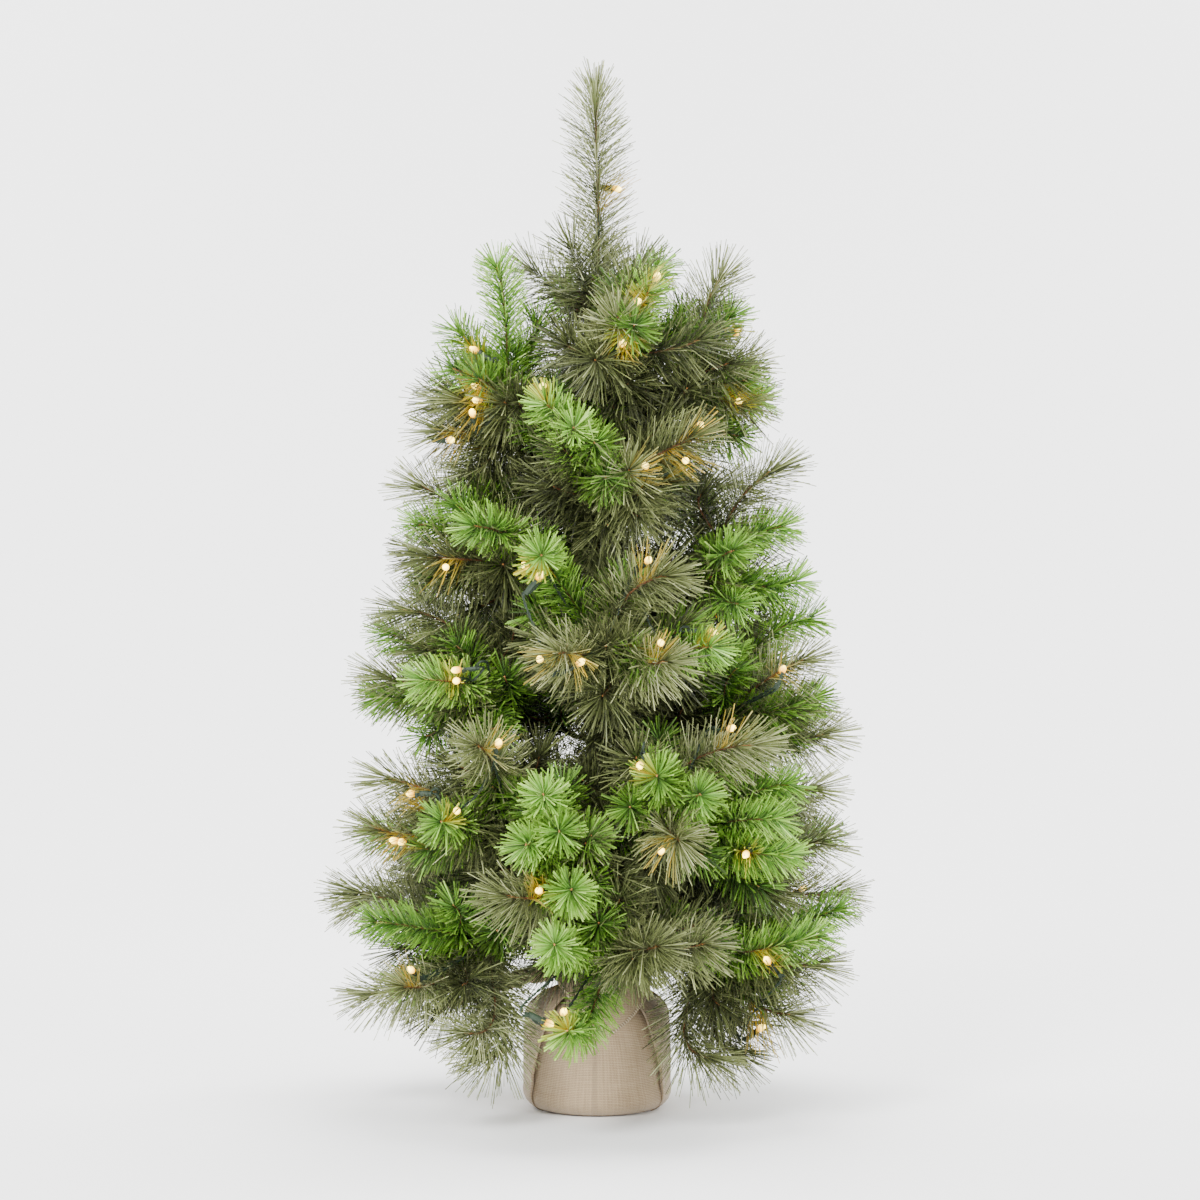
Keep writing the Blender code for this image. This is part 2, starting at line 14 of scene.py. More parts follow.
import bmesh
import bpy
import numpy as np
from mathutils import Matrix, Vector

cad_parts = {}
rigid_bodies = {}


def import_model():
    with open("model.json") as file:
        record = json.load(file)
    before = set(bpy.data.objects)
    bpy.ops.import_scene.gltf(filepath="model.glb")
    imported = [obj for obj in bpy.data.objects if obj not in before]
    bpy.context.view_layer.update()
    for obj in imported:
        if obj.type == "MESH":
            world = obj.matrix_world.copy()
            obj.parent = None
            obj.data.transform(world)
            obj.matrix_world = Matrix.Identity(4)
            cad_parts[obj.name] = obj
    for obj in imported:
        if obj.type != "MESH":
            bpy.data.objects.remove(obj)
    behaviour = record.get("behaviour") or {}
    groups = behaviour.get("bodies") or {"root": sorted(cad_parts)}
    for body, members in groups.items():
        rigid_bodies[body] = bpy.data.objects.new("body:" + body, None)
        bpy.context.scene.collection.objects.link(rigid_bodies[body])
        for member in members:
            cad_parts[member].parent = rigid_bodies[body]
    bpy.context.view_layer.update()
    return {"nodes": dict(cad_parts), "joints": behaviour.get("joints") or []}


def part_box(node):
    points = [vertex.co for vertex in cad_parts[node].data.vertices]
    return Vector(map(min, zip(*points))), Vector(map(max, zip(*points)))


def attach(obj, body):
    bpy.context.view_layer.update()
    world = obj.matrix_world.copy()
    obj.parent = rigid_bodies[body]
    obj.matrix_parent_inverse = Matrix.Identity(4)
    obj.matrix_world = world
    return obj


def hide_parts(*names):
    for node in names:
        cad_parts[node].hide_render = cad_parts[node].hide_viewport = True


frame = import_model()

LOG = logging.getLogger("tabletop_tree")
MM = 0.001
UP = np.array((0.0, 0.0, 1.0))
FULL_TURN = 2 * math.pi
GOLDEN_TURN = math.pi * (3 - math.sqrt(5))
Point = np.ndarray
Colour = tuple[float, float, float]
Place = tuple[float, float, float]


class Tip(Enum):
    """The two kinds of tip that the crown mixes."""

    FIR = "fir"
    PINE = "pine"


FIR, PINE = Tip.FIR, Tip.PINE

# Each branch's tips: kind, turn about the trunk in degrees and height above the neck in mm.
BRANCH_TIPS: tuple[tuple[tuple[Tip, float, float], ...], ...] = (
    ((PINE, -35, -40), (PINE, -85, -24), (PINE, -50, 0), (FIR, -61, 57), (PINE, -76, 80)),
    ((FIR, -37, 145), (PINE, -64, 133), (PINE, -59, 181), (PINE, -28, 216)),
    ((FIR, -74, 242), (PINE, -71, 263), (FIR, -47, 261), (FIR, -75, 306), (PINE, -64, 327)),
    ((PINE, -55, 362), (FIR, -36, 391), (FIR, -65, 395), (PINE, -68, 432)),
    ((PINE, -62, 466), (PINE, -53, 497), (FIR, -64, 567), (FIR, -43, 621)),
    ((FIR, -8, -33), (FIR, -10, 49), (PINE, 14, 47), (PINE, 25, 48)),
    ((PINE, -21, 83), (FIR, -5, 90), (FIR, -16, 130), (FIR, -8, 143), (FIR, -12, 176)),
    ((PINE, 18, 127), (FIR, 24, 169), (FIR, 13, 187), (PINE, 41, 212)),
    ((PINE, -11, 284), (PINE, 18, 276), (FIR, 31, 289), (PINE, 20, 355), (FIR, -16, 372)),
    ((PINE, 10, 434), (FIR, -8, 475), (FIR, -18, 497), (PINE, 33, 467)),
    ((PINE, 68, -79), (PINE, 58, -31), (PINE, 60, 18), (FIR, 60, 45), (FIR, 74, 65)),
    ((FIR, 48, 113), (PINE, 64, 121), (FIR, 46, 147), (PINE, 63, 172), (FIR, 50, 179)),
    ((PINE, 74, 208), (FIR, 72, 245), (PINE, 65, 282), (FIR, 82, 320)),
    ((FIR, 73, 340), (FIR, 71, 395), (PINE, 72, 450)),
    ((FIR, 75, 498), (PINE, 67, 534), (FIR, 62, 580), (PINE, 59, 614)),
    ((PINE, 7, 566), (FIR, 21, 593)),
    ((PINE, 98, 60), (FIR, 118, 20), (PINE, 130, 90), (FIR, 106, 118), (PINE, 122, 150),
     (FIR, 142, 55)),
    ((PINE, 165, 10), (FIR, 185, 50), (PINE, 205, 20), (FIR, 175, 110), (PINE, 195, 130),
     (FIR, 158, 95)),
    ((PINE, -100, 50), (FIR, -122, 20), (PINE, -134, 80), (FIR, -110, 115), (PINE, -128, 150)),
    ((PINE, 105, 225), (FIR, 128, 250), (PINE, 150, 230), (FIR, 165, 280), (PINE, 122, 310),
     (FIR, 146, 330)),
    ((PINE, -108, 240), (FIR, -130, 262), (PINE, -155, 245), (FIR, -172, 290), (PINE, -122, 330),
     (FIR, -150, 345)),
    ((PINE, 128, 430), (FIR, 152, 415), (PINE, 180, 440), (FIR, 208, 420), (PINE, 232, 440),
     (FIR, 160, 520), (PINE, 198, 530)),
)

# Tips that hang beside the sack, by their branch's number. They don't move the fork they leave.
LOW_TIPS: dict[int, tuple[tuple[Tip, float, float], ...]] = {
    1: ((PINE, -39, -70),),
    11: ((PINE, 41, -73),),
}

# The lamps' turn about the trunk in degrees and height above the neck in mm.
LAMPS: tuple[tuple[float, float], ...] = (
    (33, 615), (16, 572), (12, 510), (-51, 535), (-42, 523), (-22, 535), (-41, 492), (-42, 466),
    (-54, 456), (68, 553), (40, 480), (58, 492), (18, 437), (30, 420), (13, 378), (-46, 346),
    (-22, 350), (-16, 331), (17, 300), (35, 309), (-4, 273), (-24, 264), (-34, 284), (-35, 258),
    (52, 261), (34, 237), (-17, 213), (0, 211), (-30, 163), (-52, 161), (-57, 120), (-51, 112),
    (12, 114), (36, 115), (-13, 91), (-47, 30), (-8, -5), (-18, -10), (43, 6), (57, -56),
    (112, 70), (128, 120), (150, 60), (168, 40), (190, 90), (206, 60), (232, 70), (246, 110),
    (120, 250), (140, 300), (160, 250), (212, 262), (226, 300), (242, 250), (140, 430),
    (170, 430), (200, 500), (215, 430), (160, 500),
)


# Shared shapes


def facing(turn: float) -> Point:
    """The level direction at a turn about the trunk, 0 at the front."""
    angle = math.radians(turn)
    return np.array((math.sin(angle), -math.cos(angle), 0.0))


def crosswise(turn: float) -> Point:
    """The level direction across the one at a turn."""
    return np.cross(UP, facing(turn))


def turn_of(vector: Point) -> float:
    """A vector's turn about the trunk in degrees."""
    return math.degrees(math.atan2(vector[0], -vector[1]))


def at_height(height: float) -> Point:
    """A place on the trunk's axis."""
    return np.array((0, 0, height))


def unit(vectors: Point) -> Point:
    """Vectors scaled to length one."""
    return vectors / np.linalg.norm(vectors, axis=-1, keepdims=True)


def mesh_piece(name: str, points: Point, faces: Sequence[Point],
               marks: dict[str, Point] | None = None, smooth: bool = False) -> bpy.types.Object:
    """Makes a piece from points and faces.

    Args:
        name: The piece's name.
        points: One row for each vertex.
        faces: Groups of faces, each group an array with one row of vertex numbers for each face.
        marks: Float attributes by name, one number for each vertex.
        smooth: Whether the faces are shaded smooth.

    Returns:
        The linked object.
    """
    mesh = bpy.data.meshes.new(name)
    sizes = np.concatenate([np.full(len(group), group.shape[1]) for group in faces])
    corners = np.concatenate([group.ravel() for group in faces]).astype(np.int32)
    mesh.vertices.add(len(points))
    mesh.vertices.foreach_set("co", np.ascontiguousarray(points, dtype=np.float32).ravel())
    mesh.loops.add(len(corners))
    mesh.loops.foreach_set("vertex_index", corners)
    mesh.polygons.add(len(sizes))
    starts = np.concatenate(([0], np.cumsum(sizes)[:-1])).astype(np.int32)
    mesh.polygons.foreach_set("loop_start", starts)
    mesh.polygons.foreach_set("use_smooth", np.full(len(sizes), smooth))
    for mark, values in (marks or {}).items():
        layer = mesh.attributes.new(mark, "FLOAT", "POINT")
        layer.data.foreach_set("value", np.asarray(values, dtype=np.float32))
    mesh.update(calc_edges=True)
    thing = bpy.data.objects.new(name, mesh)
    bpy.context.scene.collection.objects.link(thing)
    return thing


def smooth_path(points: Sequence[Point], step: float) -> Point:
    """A Catmull-Rom curve through points.

    Args:
        points: The points in order.
        step: About how far apart the samples lie.

    Returns:
        The samples, the last point included.
    """
    through = np.array(points, dtype=float)
    ends = np.vstack((2 * through[0] - through[1], through, 2 * through[-1] - through[-2]))
    samples = []
    for a, b, c, d in zip(ends, ends[1:], ends[2:], ends[3:]):
        count = max(2, round(float(np.linalg.norm(c - b)) / step))
        t = np.linspace(0, 1, count, endpoint=False)[:, None]
        samples.append(0.5 * (2 * b + (c - a) * t + (2 * a - 5 * b + 4 * c - d) * t**2
                              + (3 * b - a - 3 * c + d) * t**3))
    samples.append(through[-1:])
    return np.vstack(samples)


def frames_along(path: Point) -> tuple[Point, Point, Point]:
    """A path's directions and two sideways directions that don't twist along it.

    Args:
        path: The path's points in order.

    Returns:
        The directions along the path, to its side and at right angles to both.
    """
    along = unit(np.gradient(path, axis=0))
    side = np.zeros_like(along)
    seed = UP if abs(along[0][2]) < 0.9 else np.array((1.0, 0.0, 0.0))
    for index, direction in enumerate(along):
        seed = seed - direction * float(seed @ direction)
        seed = seed / np.linalg.norm(seed)
        side[index] = seed
    return along, side, np.cross(along, side)


@dataclass
class Tubes:
    """Round tubes collected into one mesh, each closed at both ends.

    The reach mark runs from 0 at a tube's start to 1 at its end.
    """

    sides: int = 6
    points: list[Point] = field(default_factory=list)
    faces: list[Point] = field(default_factory=list)
    caps: list[Point] = field(default_factory=list)
    reach: list[Point] = field(default_factory=list)
    count: int = 0

    def add(self, path: Point, radius: float) -> None:
        """Adds one tube.

        Args:
            path: The middle of the tube.
            radius: Its radius.
        """
        _, side, up = frames_along(path)
        spin = np.linspace(0, FULL_TURN, self.sides, endpoint=False)[None, :, None]
        ring = side[:, None, :] * np.cos(spin) + up[:, None, :] * np.sin(spin)
        self.points.append((path[:, None, :] + ring * radius).reshape(-1, 3))
        start = self.count + np.arange(len(path) - 1)[:, None] * self.sides
        here = np.arange(self.sides)[None, :]
        after = (here + 1) % self.sides
        quads = np.stack((start + here, start + after, start + self.sides + after,
                          start + self.sides + here), axis=-1)
        self.faces.append(quads.reshape(-1, 4))
        spots = np.arange(self.sides)
        self.caps.append(self.count + spots[::-1])
        self.caps.append(self.count + (len(path) - 1) * self.sides + spots)
        self.reach.append(np.repeat(np.linspace(0, 1, len(path)), self.sides))
        self.count += len(path) * self.sides

    def piece(self, name: str) -> bpy.types.Object:
        """The collected tubes as one piece."""
        faces = [np.vstack(self.faces), np.array(self.caps)]
        return mesh_piece(name, np.vstack(self.points), faces,
                          {"reach": np.concatenate(self.reach)}, smooth=True)


def coiled(path: Point, spin: Point, offset: float, strands: int) -> list[Point]:
    """The middles of strands that wind round a path.

    Args:
        path: The path's points in order.
        spin: How far the first strand has wound at each point, in radians.
        offset: How far each strand's middle lies from the path.
        strands: How many there are, evenly spaced.

    Returns:
        One path for each strand.
    """
    _, side, up = frames_along(path)
    angles = [spin + index * FULL_TURN / strands for index in range(strands)]
    return [path + (side * np.cos(angle)[:, None] + up * np.sin(angle)[:, None]) * offset
            for angle in angles]


def twisted(path: Point, tubes: Tubes, pitch: float = 0.0080, offset: float = 0.00055,
            strand: float = 0.00065) -> None:
    """Adds two strands twisted round each other.

    Args:
        path: The middle of the pair.
        tubes: Where the strands are collected.
        pitch: How far along the path one full twist takes.
        offset: How far each strand's middle lies from the path.
        strand: Each strand's radius.
    """
    length = float(np.linalg.norm(np.diff(path, axis=0), axis=1).sum())
    count = max(6, round(length / pitch * 5))
    fine = np.linspace(0, len(path) - 1, count)
    path = np.stack([np.interp(fine, np.arange(len(path)), values) for values in path.T], axis=1)
    spin = np.linspace(0, length / pitch * FULL_TURN, count)
    for centre in coiled(path, spin, offset, 2):
        tubes.add(centre, strand)


def paint(names: Iterable[str], finish: bpy.types.Material) -> None:
    """Gives CAD nodes a finish."""
    for name in names:
        mesh = frame["nodes"][name].data
        mesh.materials.clear()
        mesh.materials.append(finish)


def dress_piece(piece: bpy.types.Object, finish: bpy.types.Material, body: str) -> None:
    """Gives a piece its finish and its body, and logs it.

    Args:
        piece: The piece.
        finish: Its only material.
        body: The body that it rides on.
    """
    piece.data.materials.clear()
    piece.data.materials.append(finish)
    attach(piece, body)
    LOG.info("%s rides on %s: %d faces", piece.name, body, len(piece.data.polygons))


# Patterns modelled once and copied


def deselect_all() -> None:
    """Deselects every object, so that an operator works on the new one only."""
    for thing in bpy.context.view_layer.objects:
        thing.select_set(False)


def pick(mesh: bpy.types.Mesh, chooses: Callable[[Vector, Vector], bool]) -> None:
    """Selects faces in edit mode, less the corners that they share with a later unchosen face.

    Args:
        mesh: The mesh that is open in edit mode.
        chooses: Says of a face's middle and normal whether the face is selected.
    """
    bm = bmesh.from_edit_mesh(mesh)
    for face in bm.faces:
        face.select = chooses(face.calc_center_median(), face.normal)
    bm.select_flush_mode()
    bmesh.update_edit_mesh(mesh)


@dataclass(frozen=True)
class Pattern:
    """A small closed shape, its long side along Z, that is copied many times."""

    points: Point
    faces: Point

    @classmethod
    def taken_from(cls, thing: bpy.types.Object) -> "Pattern":
        """Reads a modelled object as triangles and removes it.

        Args:
            thing: The object, with its foot at 0 and its end at 1 on Z.

        Returns:
            Its pattern.
        """
        bm = bmesh.new()
        bm.from_mesh(thing.data)
        bmesh.ops.remove_doubles(bm, verts=bm.verts, dist=1e-6)
        bmesh.ops.recalc_face_normals(bm, faces=bm.faces)
        bmesh.ops.triangulate(bm, faces=bm.faces)
        points = np.array([v.co[:] for v in bm.verts])
        faces = np.array([[v.index for v in f.verts] for f in bm.faces])
        bm.free()
        bpy.data.objects.remove(thing, do_unlink=True)
        return cls(points, faces)


def finished_pattern(thing: bpy.types.Object) -> Pattern:
    """Closes edit mode and takes the pattern from the shape."""
    bpy.ops.object.mode_set(mode="OBJECT")
    bpy.ops.object.transform_apply(location=True, rotation=True, scale=True)
    return Pattern.taken_from(thing)


def needle_pattern(waist: float, tip: float) -> Pattern:
    """A straight three-sided needle: narrow at its foot, then drawn in to its tip.

    Args:
        waist: The foot's width, as a share of the widest place.
        tip: The tip's width, as a share of the widest place.

    Returns:
        The needle, one metre long and one metre wide.
    """
    deselect_all()
    bpy.ops.mesh.primitive_cylinder_add(vertices=3, radius=0.5, depth=1, location=(0, 0, 0.5))
    thing = bpy.context.object
    bpy.ops.object.mode_set(mode="EDIT")
    for way, share in ((-1, waist), (1, tip)):
        pick(thing.data, lambda middle, normal, way=way: normal.z * way > 0.9)
        bpy.ops.transform.resize(value=(share, share, 1))
    return finished_pattern(thing)


def lamp_pattern() -> Pattern:
    """A small lamp: a round glass drawn out towards its end."""
    deselect_all()
    bpy.ops.mesh.primitive_uv_sphere_add(segments=10, ring_count=7, radius=0.5,
                                         location=(0, 0, 0.5))
    thing = bpy.context.object
    bpy.ops.object.mode_set(mode="EDIT")
    pick(thing.data, lambda middle, normal: middle.z > 0.3)
    bpy.ops.transform.resize(value=(0.7, 0.7, 1), center_override=(0, 0, 0.5))
    return finished_pattern(thing)


def socket_pattern() -> Pattern:
    """A lamp's socket: a tapered sleeve with a collar, where the lamp goes in, and a slim foot."""
    deselect_all()
    bpy.ops.mesh.primitive_cylinder_add(vertices=8, radius=0.34, depth=0.15, location=(0, 0, 0.075))
    thing = bpy.context.object
    bpy.ops.object.mode_set(mode="EDIT")
    pick(thing.data, lambda middle, normal: normal.z > 0.9)
    shoulder, sleeve, lip = (0.05, 1.25), (0.5, 0.92), (0.04, 1.28)
    collar, mouth, well = (0.16, 1.0), (0.0, 0.72), (-0.1, 1.0)
    for rise, spread in (shoulder, sleeve, lip, collar, mouth, well):
        bpy.ops.mesh.extrude_region_move(TRANSFORM_OT_translate={"value": (0, 0, rise)})
        bpy.ops.transform.resize(value=(spread, spread, 1))
    return finished_pattern(thing)


@dataclass
class Copies:
    """Copies of a pattern collected into one mesh.

    The reach mark runs from 0 at a copy's foot to 1 at its end.
    """

    pattern: Pattern
    points: list[Point] = field(default_factory=list)
    marks: dict[str, list[Point]] = field(default_factory=dict)
    count: int = 0

    def add(self, places: Point, along: Point, side: Point, sizes: Point, bend: Point | float = 0.0,
            **marks: Point) -> None:
        """Adds copies.

        Args:
            places: Where each copy's foot stands.
            along: The unit direction of each copy's Z.
            side: A direction near each copy's X.
            sizes: Each copy's width, thickness and length.
            bend: How far each copy's end sags, in metres.
            **marks: One number for each copy, kept as an attribute.
        """
        across = unit(side - along * np.sum(side * along, axis=1, keepdims=True))
        up = np.cross(along, across)
        local = self.pattern.points[None] * sizes[:, None, :]
        made = (places[:, None] + local[..., :1] * across[:, None] + local[..., 1:2] * up[:, None]
                + local[..., 2:] * along[:, None])
        share = self.pattern.points[None, :, 2] ** 2
        made[..., 2] -= np.broadcast_to(bend, (len(places),))[:, None] * share
        self.points.append(made.reshape(-1, 3))
        for name, values in marks.items():
            spread = np.repeat(values, len(self.pattern.points))
            self.marks.setdefault(name, []).append(spread)
        reach = np.tile(self.pattern.points[:, 2], len(places))
        self.marks.setdefault("reach", []).append(reach)
        self.count += len(places)

    def piece(self, name: str, smooth: bool = False) -> bpy.types.Object:
        """The copies as one piece."""
        size = len(self.pattern.points)
        firsts = np.arange(self.count)[:, None, None] * size
        faces = (self.pattern.faces[None] + firsts).reshape(-1, 3)
        marks = {mark: np.concatenate(values) for mark, values in self.marks.items()}
        return mesh_piece(name, np.vstack(self.points), [faces], marks, smooth)


# Finishes


class Shader:
    """A material's Principled shader with a few helpers for its nodes."""

    def __init__(self, name: str) -> None:
        """Starts a material."""
        self.material = bpy.data.materials.new(name)
        self.material.use_nodes = True
        self.nodes = self.material.node_tree.nodes
        self.links = self.material.node_tree.links
        self.main = self.nodes["Principled BSDF"]

    def set(self, **values: float | tuple[float, ...]) -> None:
        """Sets constants on the shader; an underscore in a name stands for a space."""
        for name, value in values.items():
            self.main.inputs[name.replace("_", " ")].default_value = value

    def feed(self, socket: str, source: bpy.types.NodeSocket) -> None:
        """Links a source to one of the shader's sockets."""
        self.links.new(source, self.main.inputs[socket])

    def mark(self, name: str) -> bpy.types.NodeSocket:
        """A vertex attribute as a number."""
        node = self.nodes.new("ShaderNodeAttribute")
        node.attribute_name = name
        return node.outputs["Fac"]

    def place(self) -> bpy.types.NodeSocket:
        """The piece's own coordinates in metres."""
        return self.nodes.new("ShaderNodeTexCoord").outputs["Object"]

    def noise(self, scale: float, detail: float = 2.0) -> bpy.types.NodeSocket:
        """A noise over the piece's coordinates.

        Args:
            scale: How many patches it has to the metre.
            detail: How many finer layers it has.

        Returns:
            The noise, from 0 to 1.
        """
        node = self.nodes.new("ShaderNodeTexNoise")
        node.inputs["Scale"].default_value = scale
        node.inputs["Detail"].default_value = detail
        self.links.new(self.place(), node.inputs["Vector"])
        return node.outputs["Fac"]

    def ramp(self, source: bpy.types.NodeSocket,
             stops: Sequence[tuple[float, Colour]]) -> bpy.types.NodeSocket:
        """A colour ramp over a number.

        Args:
            source: The number.
            stops: Where each colour stands: the first, the last, then those between them.

        Returns:
            The colour.
        """
        node = self.nodes.new("ShaderNodeValToRGB")
        ends = node.color_ramp.elements
        for index, (where, colour) in enumerate(stops):
            stop = ends[index] if index < 2 else ends.new(where)
            stop.position = where
            stop.color = (*colour, 1.0)
        self.links.new(source, node.inputs["Fac"])
        return node.outputs["Color"]

    def maths(self, kind: str, first: bpy.types.NodeSocket,
              second: bpy.types.NodeSocket | float) -> bpy.types.NodeSocket:
        """One operation on two numbers.

        Args:
            kind: The operation's name in Blender.
            first: The first number.
            second: The second, which an operation on one number leaves aside.

        Returns:
            The result.
        """
        node = self.nodes.new("ShaderNodeMath")
        node.operation = kind
        self.links.new(first, node.inputs[0])
        if isinstance(second, (int, float)):
            node.inputs[1].default_value = second
        else:
            self.links.new(second, node.inputs[1])
        return node.outputs[0]

    def spread(self, source: bpy.types.NodeSocket, low: float, high: float,
               start: float = 0.0) -> bpy.types.NodeSocket:
        """A number moved to another range.

        Args:
            source: The number, which is held between the start and 1.
            low: What the start becomes.
            high: What 1 becomes.
            start: The least number that counts.

        Returns:
            The moved number.
        """
        node = self.nodes.new("ShaderNodeMapRange")
        node.inputs["From Min"].default_value = start
        node.inputs["To Min"].default_value = low
        node.inputs["To Max"].default_value = high
        self.links.new(source, node.inputs["Value"])
        return node.outputs["Result"]

    def tinted(self, colour: bpy.types.NodeSocket, share: bpy.types.NodeSocket,
               tint: Colour) -> bpy.types.NodeSocket:
        """A colour mixed with a tint.

        Args:
            colour: The colour.
            share: How much of the tint goes in, from 0 to 1.
            tint: The tint.

        Returns:
            The mixed colour.
        """
        node = self.nodes.new("ShaderNodeMixRGB")
        self.links.new(share, node.inputs["Fac"])
        self.links.new(colour, node.inputs["Color1"])
        node.inputs["Color2"].default_value = (*tint, 1.0)
        return node.outputs["Color"]

    def scaled(self, colour: bpy.types.NodeSocket,
               amount: bpy.types.NodeSocket) -> bpy.types.NodeSocket:
        """A colour made lighter or darker by a number.

        Args:
            colour: The colour.
            amount: 1 to leave it as it is.

        Returns:
            The scaled colour.
        """
        node = self.nodes.new("ShaderNodeVectorMath")
        node.operation = "SCALE"
        self.links.new(colour, node.inputs[0])
        self.links.new(amount, node.inputs["Scale"])
        return node.outputs["Vector"]

    def bump(self, height: bpy.types.NodeSocket, distance: float, strength: float) -> None:
        """Bumps the surface.

        Args:
            height: The relief, from 0 to 1.
            distance: How high 1 stands, in metres.
            strength: How much of the relief shows.
        """
        node = self.nodes.new("ShaderNodeBump")
        node.inputs["Distance"].default_value = distance
        node.inputs["Strength"].default_value = strength
        self.links.new(height, node.inputs["Height"])
        self.feed("Normal", node.outputs["Normal"])


@dataclass(frozen=True)
class NeedleFinish:
    """PVC needles: painted shade towards the foot and on stems inside the crown, random tone from
    needle to needle, a painted sheen on the lightest, and painted warm lamp light near a lamp.
    """

    name: str
    foot: Colour
    middle: Colour
    end: Colour
    dry: Colour
    pale: Colour
    roughness: float
    # The tint and the glow of the painted lamp light near a lamp.
    lit: Colour = (0.52, 0.32, 0.004)
    warmth: Colour = (1.0, 0.60, 0.005)
    darkest: float = 0.20
    lightest: float = 1.55
    glow: float = 0.45

    def make(self) -> bpy.types.Material:
        """Builds the material."""
        shader = Shader(self.name)
        # Painted shade: each needle darkens towards its foot, near the stem.
        colour = shader.ramp(shader.mark("reach"), ((0.0, self.foot), (1.0, self.end),
                                                    (0.45, self.middle)))
        dry = shader.spread(shader.noise(28.0), 0.0, 0.45)
        colour = shader.tinted(colour, dry, self.dry)
        # The tone mark carries each stem's painted shade, darker inside the crown, and each
        # needle's random tone.
        tone = shader.spread(shader.mark("tone"), self.darkest, self.lightest)
        colour = shader.scaled(colour, tone)
        # Painted sheen: the needles with the highest tone are mixed towards a pale colour that
        # stands in for highlights.
        pale = shader.spread(shader.mark("tone"), 0.0, 0.75, start=0.72)
        colour = shader.tinted(colour, pale, self.pale)
        # Painted lamp light: needles near a lamp are tinted warm and made to glow, though they are
        # no lamps.
        lit = shader.spread(shader.mark("glow"), 0.0, 0.8)
        colour = shader.tinted(colour, lit, self.lit)
        shader.feed("Base Color", colour)
        shader.feed("Emission Strength", shader.maths("MULTIPLY", shader.mark("glow"), self.glow))
        shader.set(Emission_Color=(*self.warmth, 1.0), Roughness=self.roughness,
                   Specular_IOR_Level=0.28)
        return shader.material


@dataclass(frozen=True)
class StemFinish:
    """Twisted wire wrapped in paper tape, paler and orange at its cut end."""

    name: str
    foot: Colour
    end: Colour

    def make(self) -> bpy.types.Material:
        """Builds the material."""
        shader = Shader(self.name)
        colour = shader.ramp(shader.mark("reach"), ((0.0, self.foot), (1.0, self.end),
                                                    (0.93, self.foot)))
        colour = shader.scaled(colour, shader.spread(shader.noise(600.0), 0.4, 1.6))
        shader.feed("Base Color", colour)
        shader.set(Roughness=0.6)
        shader.bump(shader.noise(1400.0), 0.0003, 0.6)
        return shader.material


@dataclass(frozen=True)
class MouldedFinish:
    """Moulded plastic, metal or plain fibre: one colour, clouded a little, with a fine grain."""

    name: str
    colour: Colour
    roughness: float
    metallic: float = 0.0
    cloud: float = 0.18
    grain: float = 1500.0
    depth: float = 0.0001

    wear: float = 0.08

    def make(self) -> bpy.types.Material:
        """Builds the material."""
        shader = Shader(self.name)
        darker, lighter = (tuple(part * (1 + sign * self.cloud) for part in self.colour)
                           for sign in (-1, 1))
        colour = shader.ramp(shader.noise(60.0, 4.0), ((0.3, darker), (0.7, lighter)))
        shader.feed("Base Color", colour)
        rough = shader.spread(shader.noise(250.0), self.roughness - self.wear,
                              self.roughness + self.wear)
        shader.feed("Roughness", rough)
        shader.set(Metallic=self.metallic)
        shader.bump(shader.noise(self.grain), self.depth, 0.5)
        return shader.material


@dataclass(frozen=True)
class LampFinish:
    """A lit lamp: nearly white at its heart and amber at its foot."""

    name: str
    heart: Colour
    foot: Colour
    strength: float

    def make(self) -> bpy.types.Material:
        """Builds the material."""
        shader = Shader(self.name)
        colour = shader.ramp(shader.mark("reach"), ((0.20, self.foot), (0.75, self.heart)))
        shader.feed("Base Color", colour)
        shader.feed("Emission Color", colour)
        heat = shader.maths("POWER", shader.mark("reach"), 1.8)
        shader.feed("Emission Strength", shader.spread(heat, self.strength * 0.06, self.strength))
        shader.set(Roughness=0.2)
        return shader.material


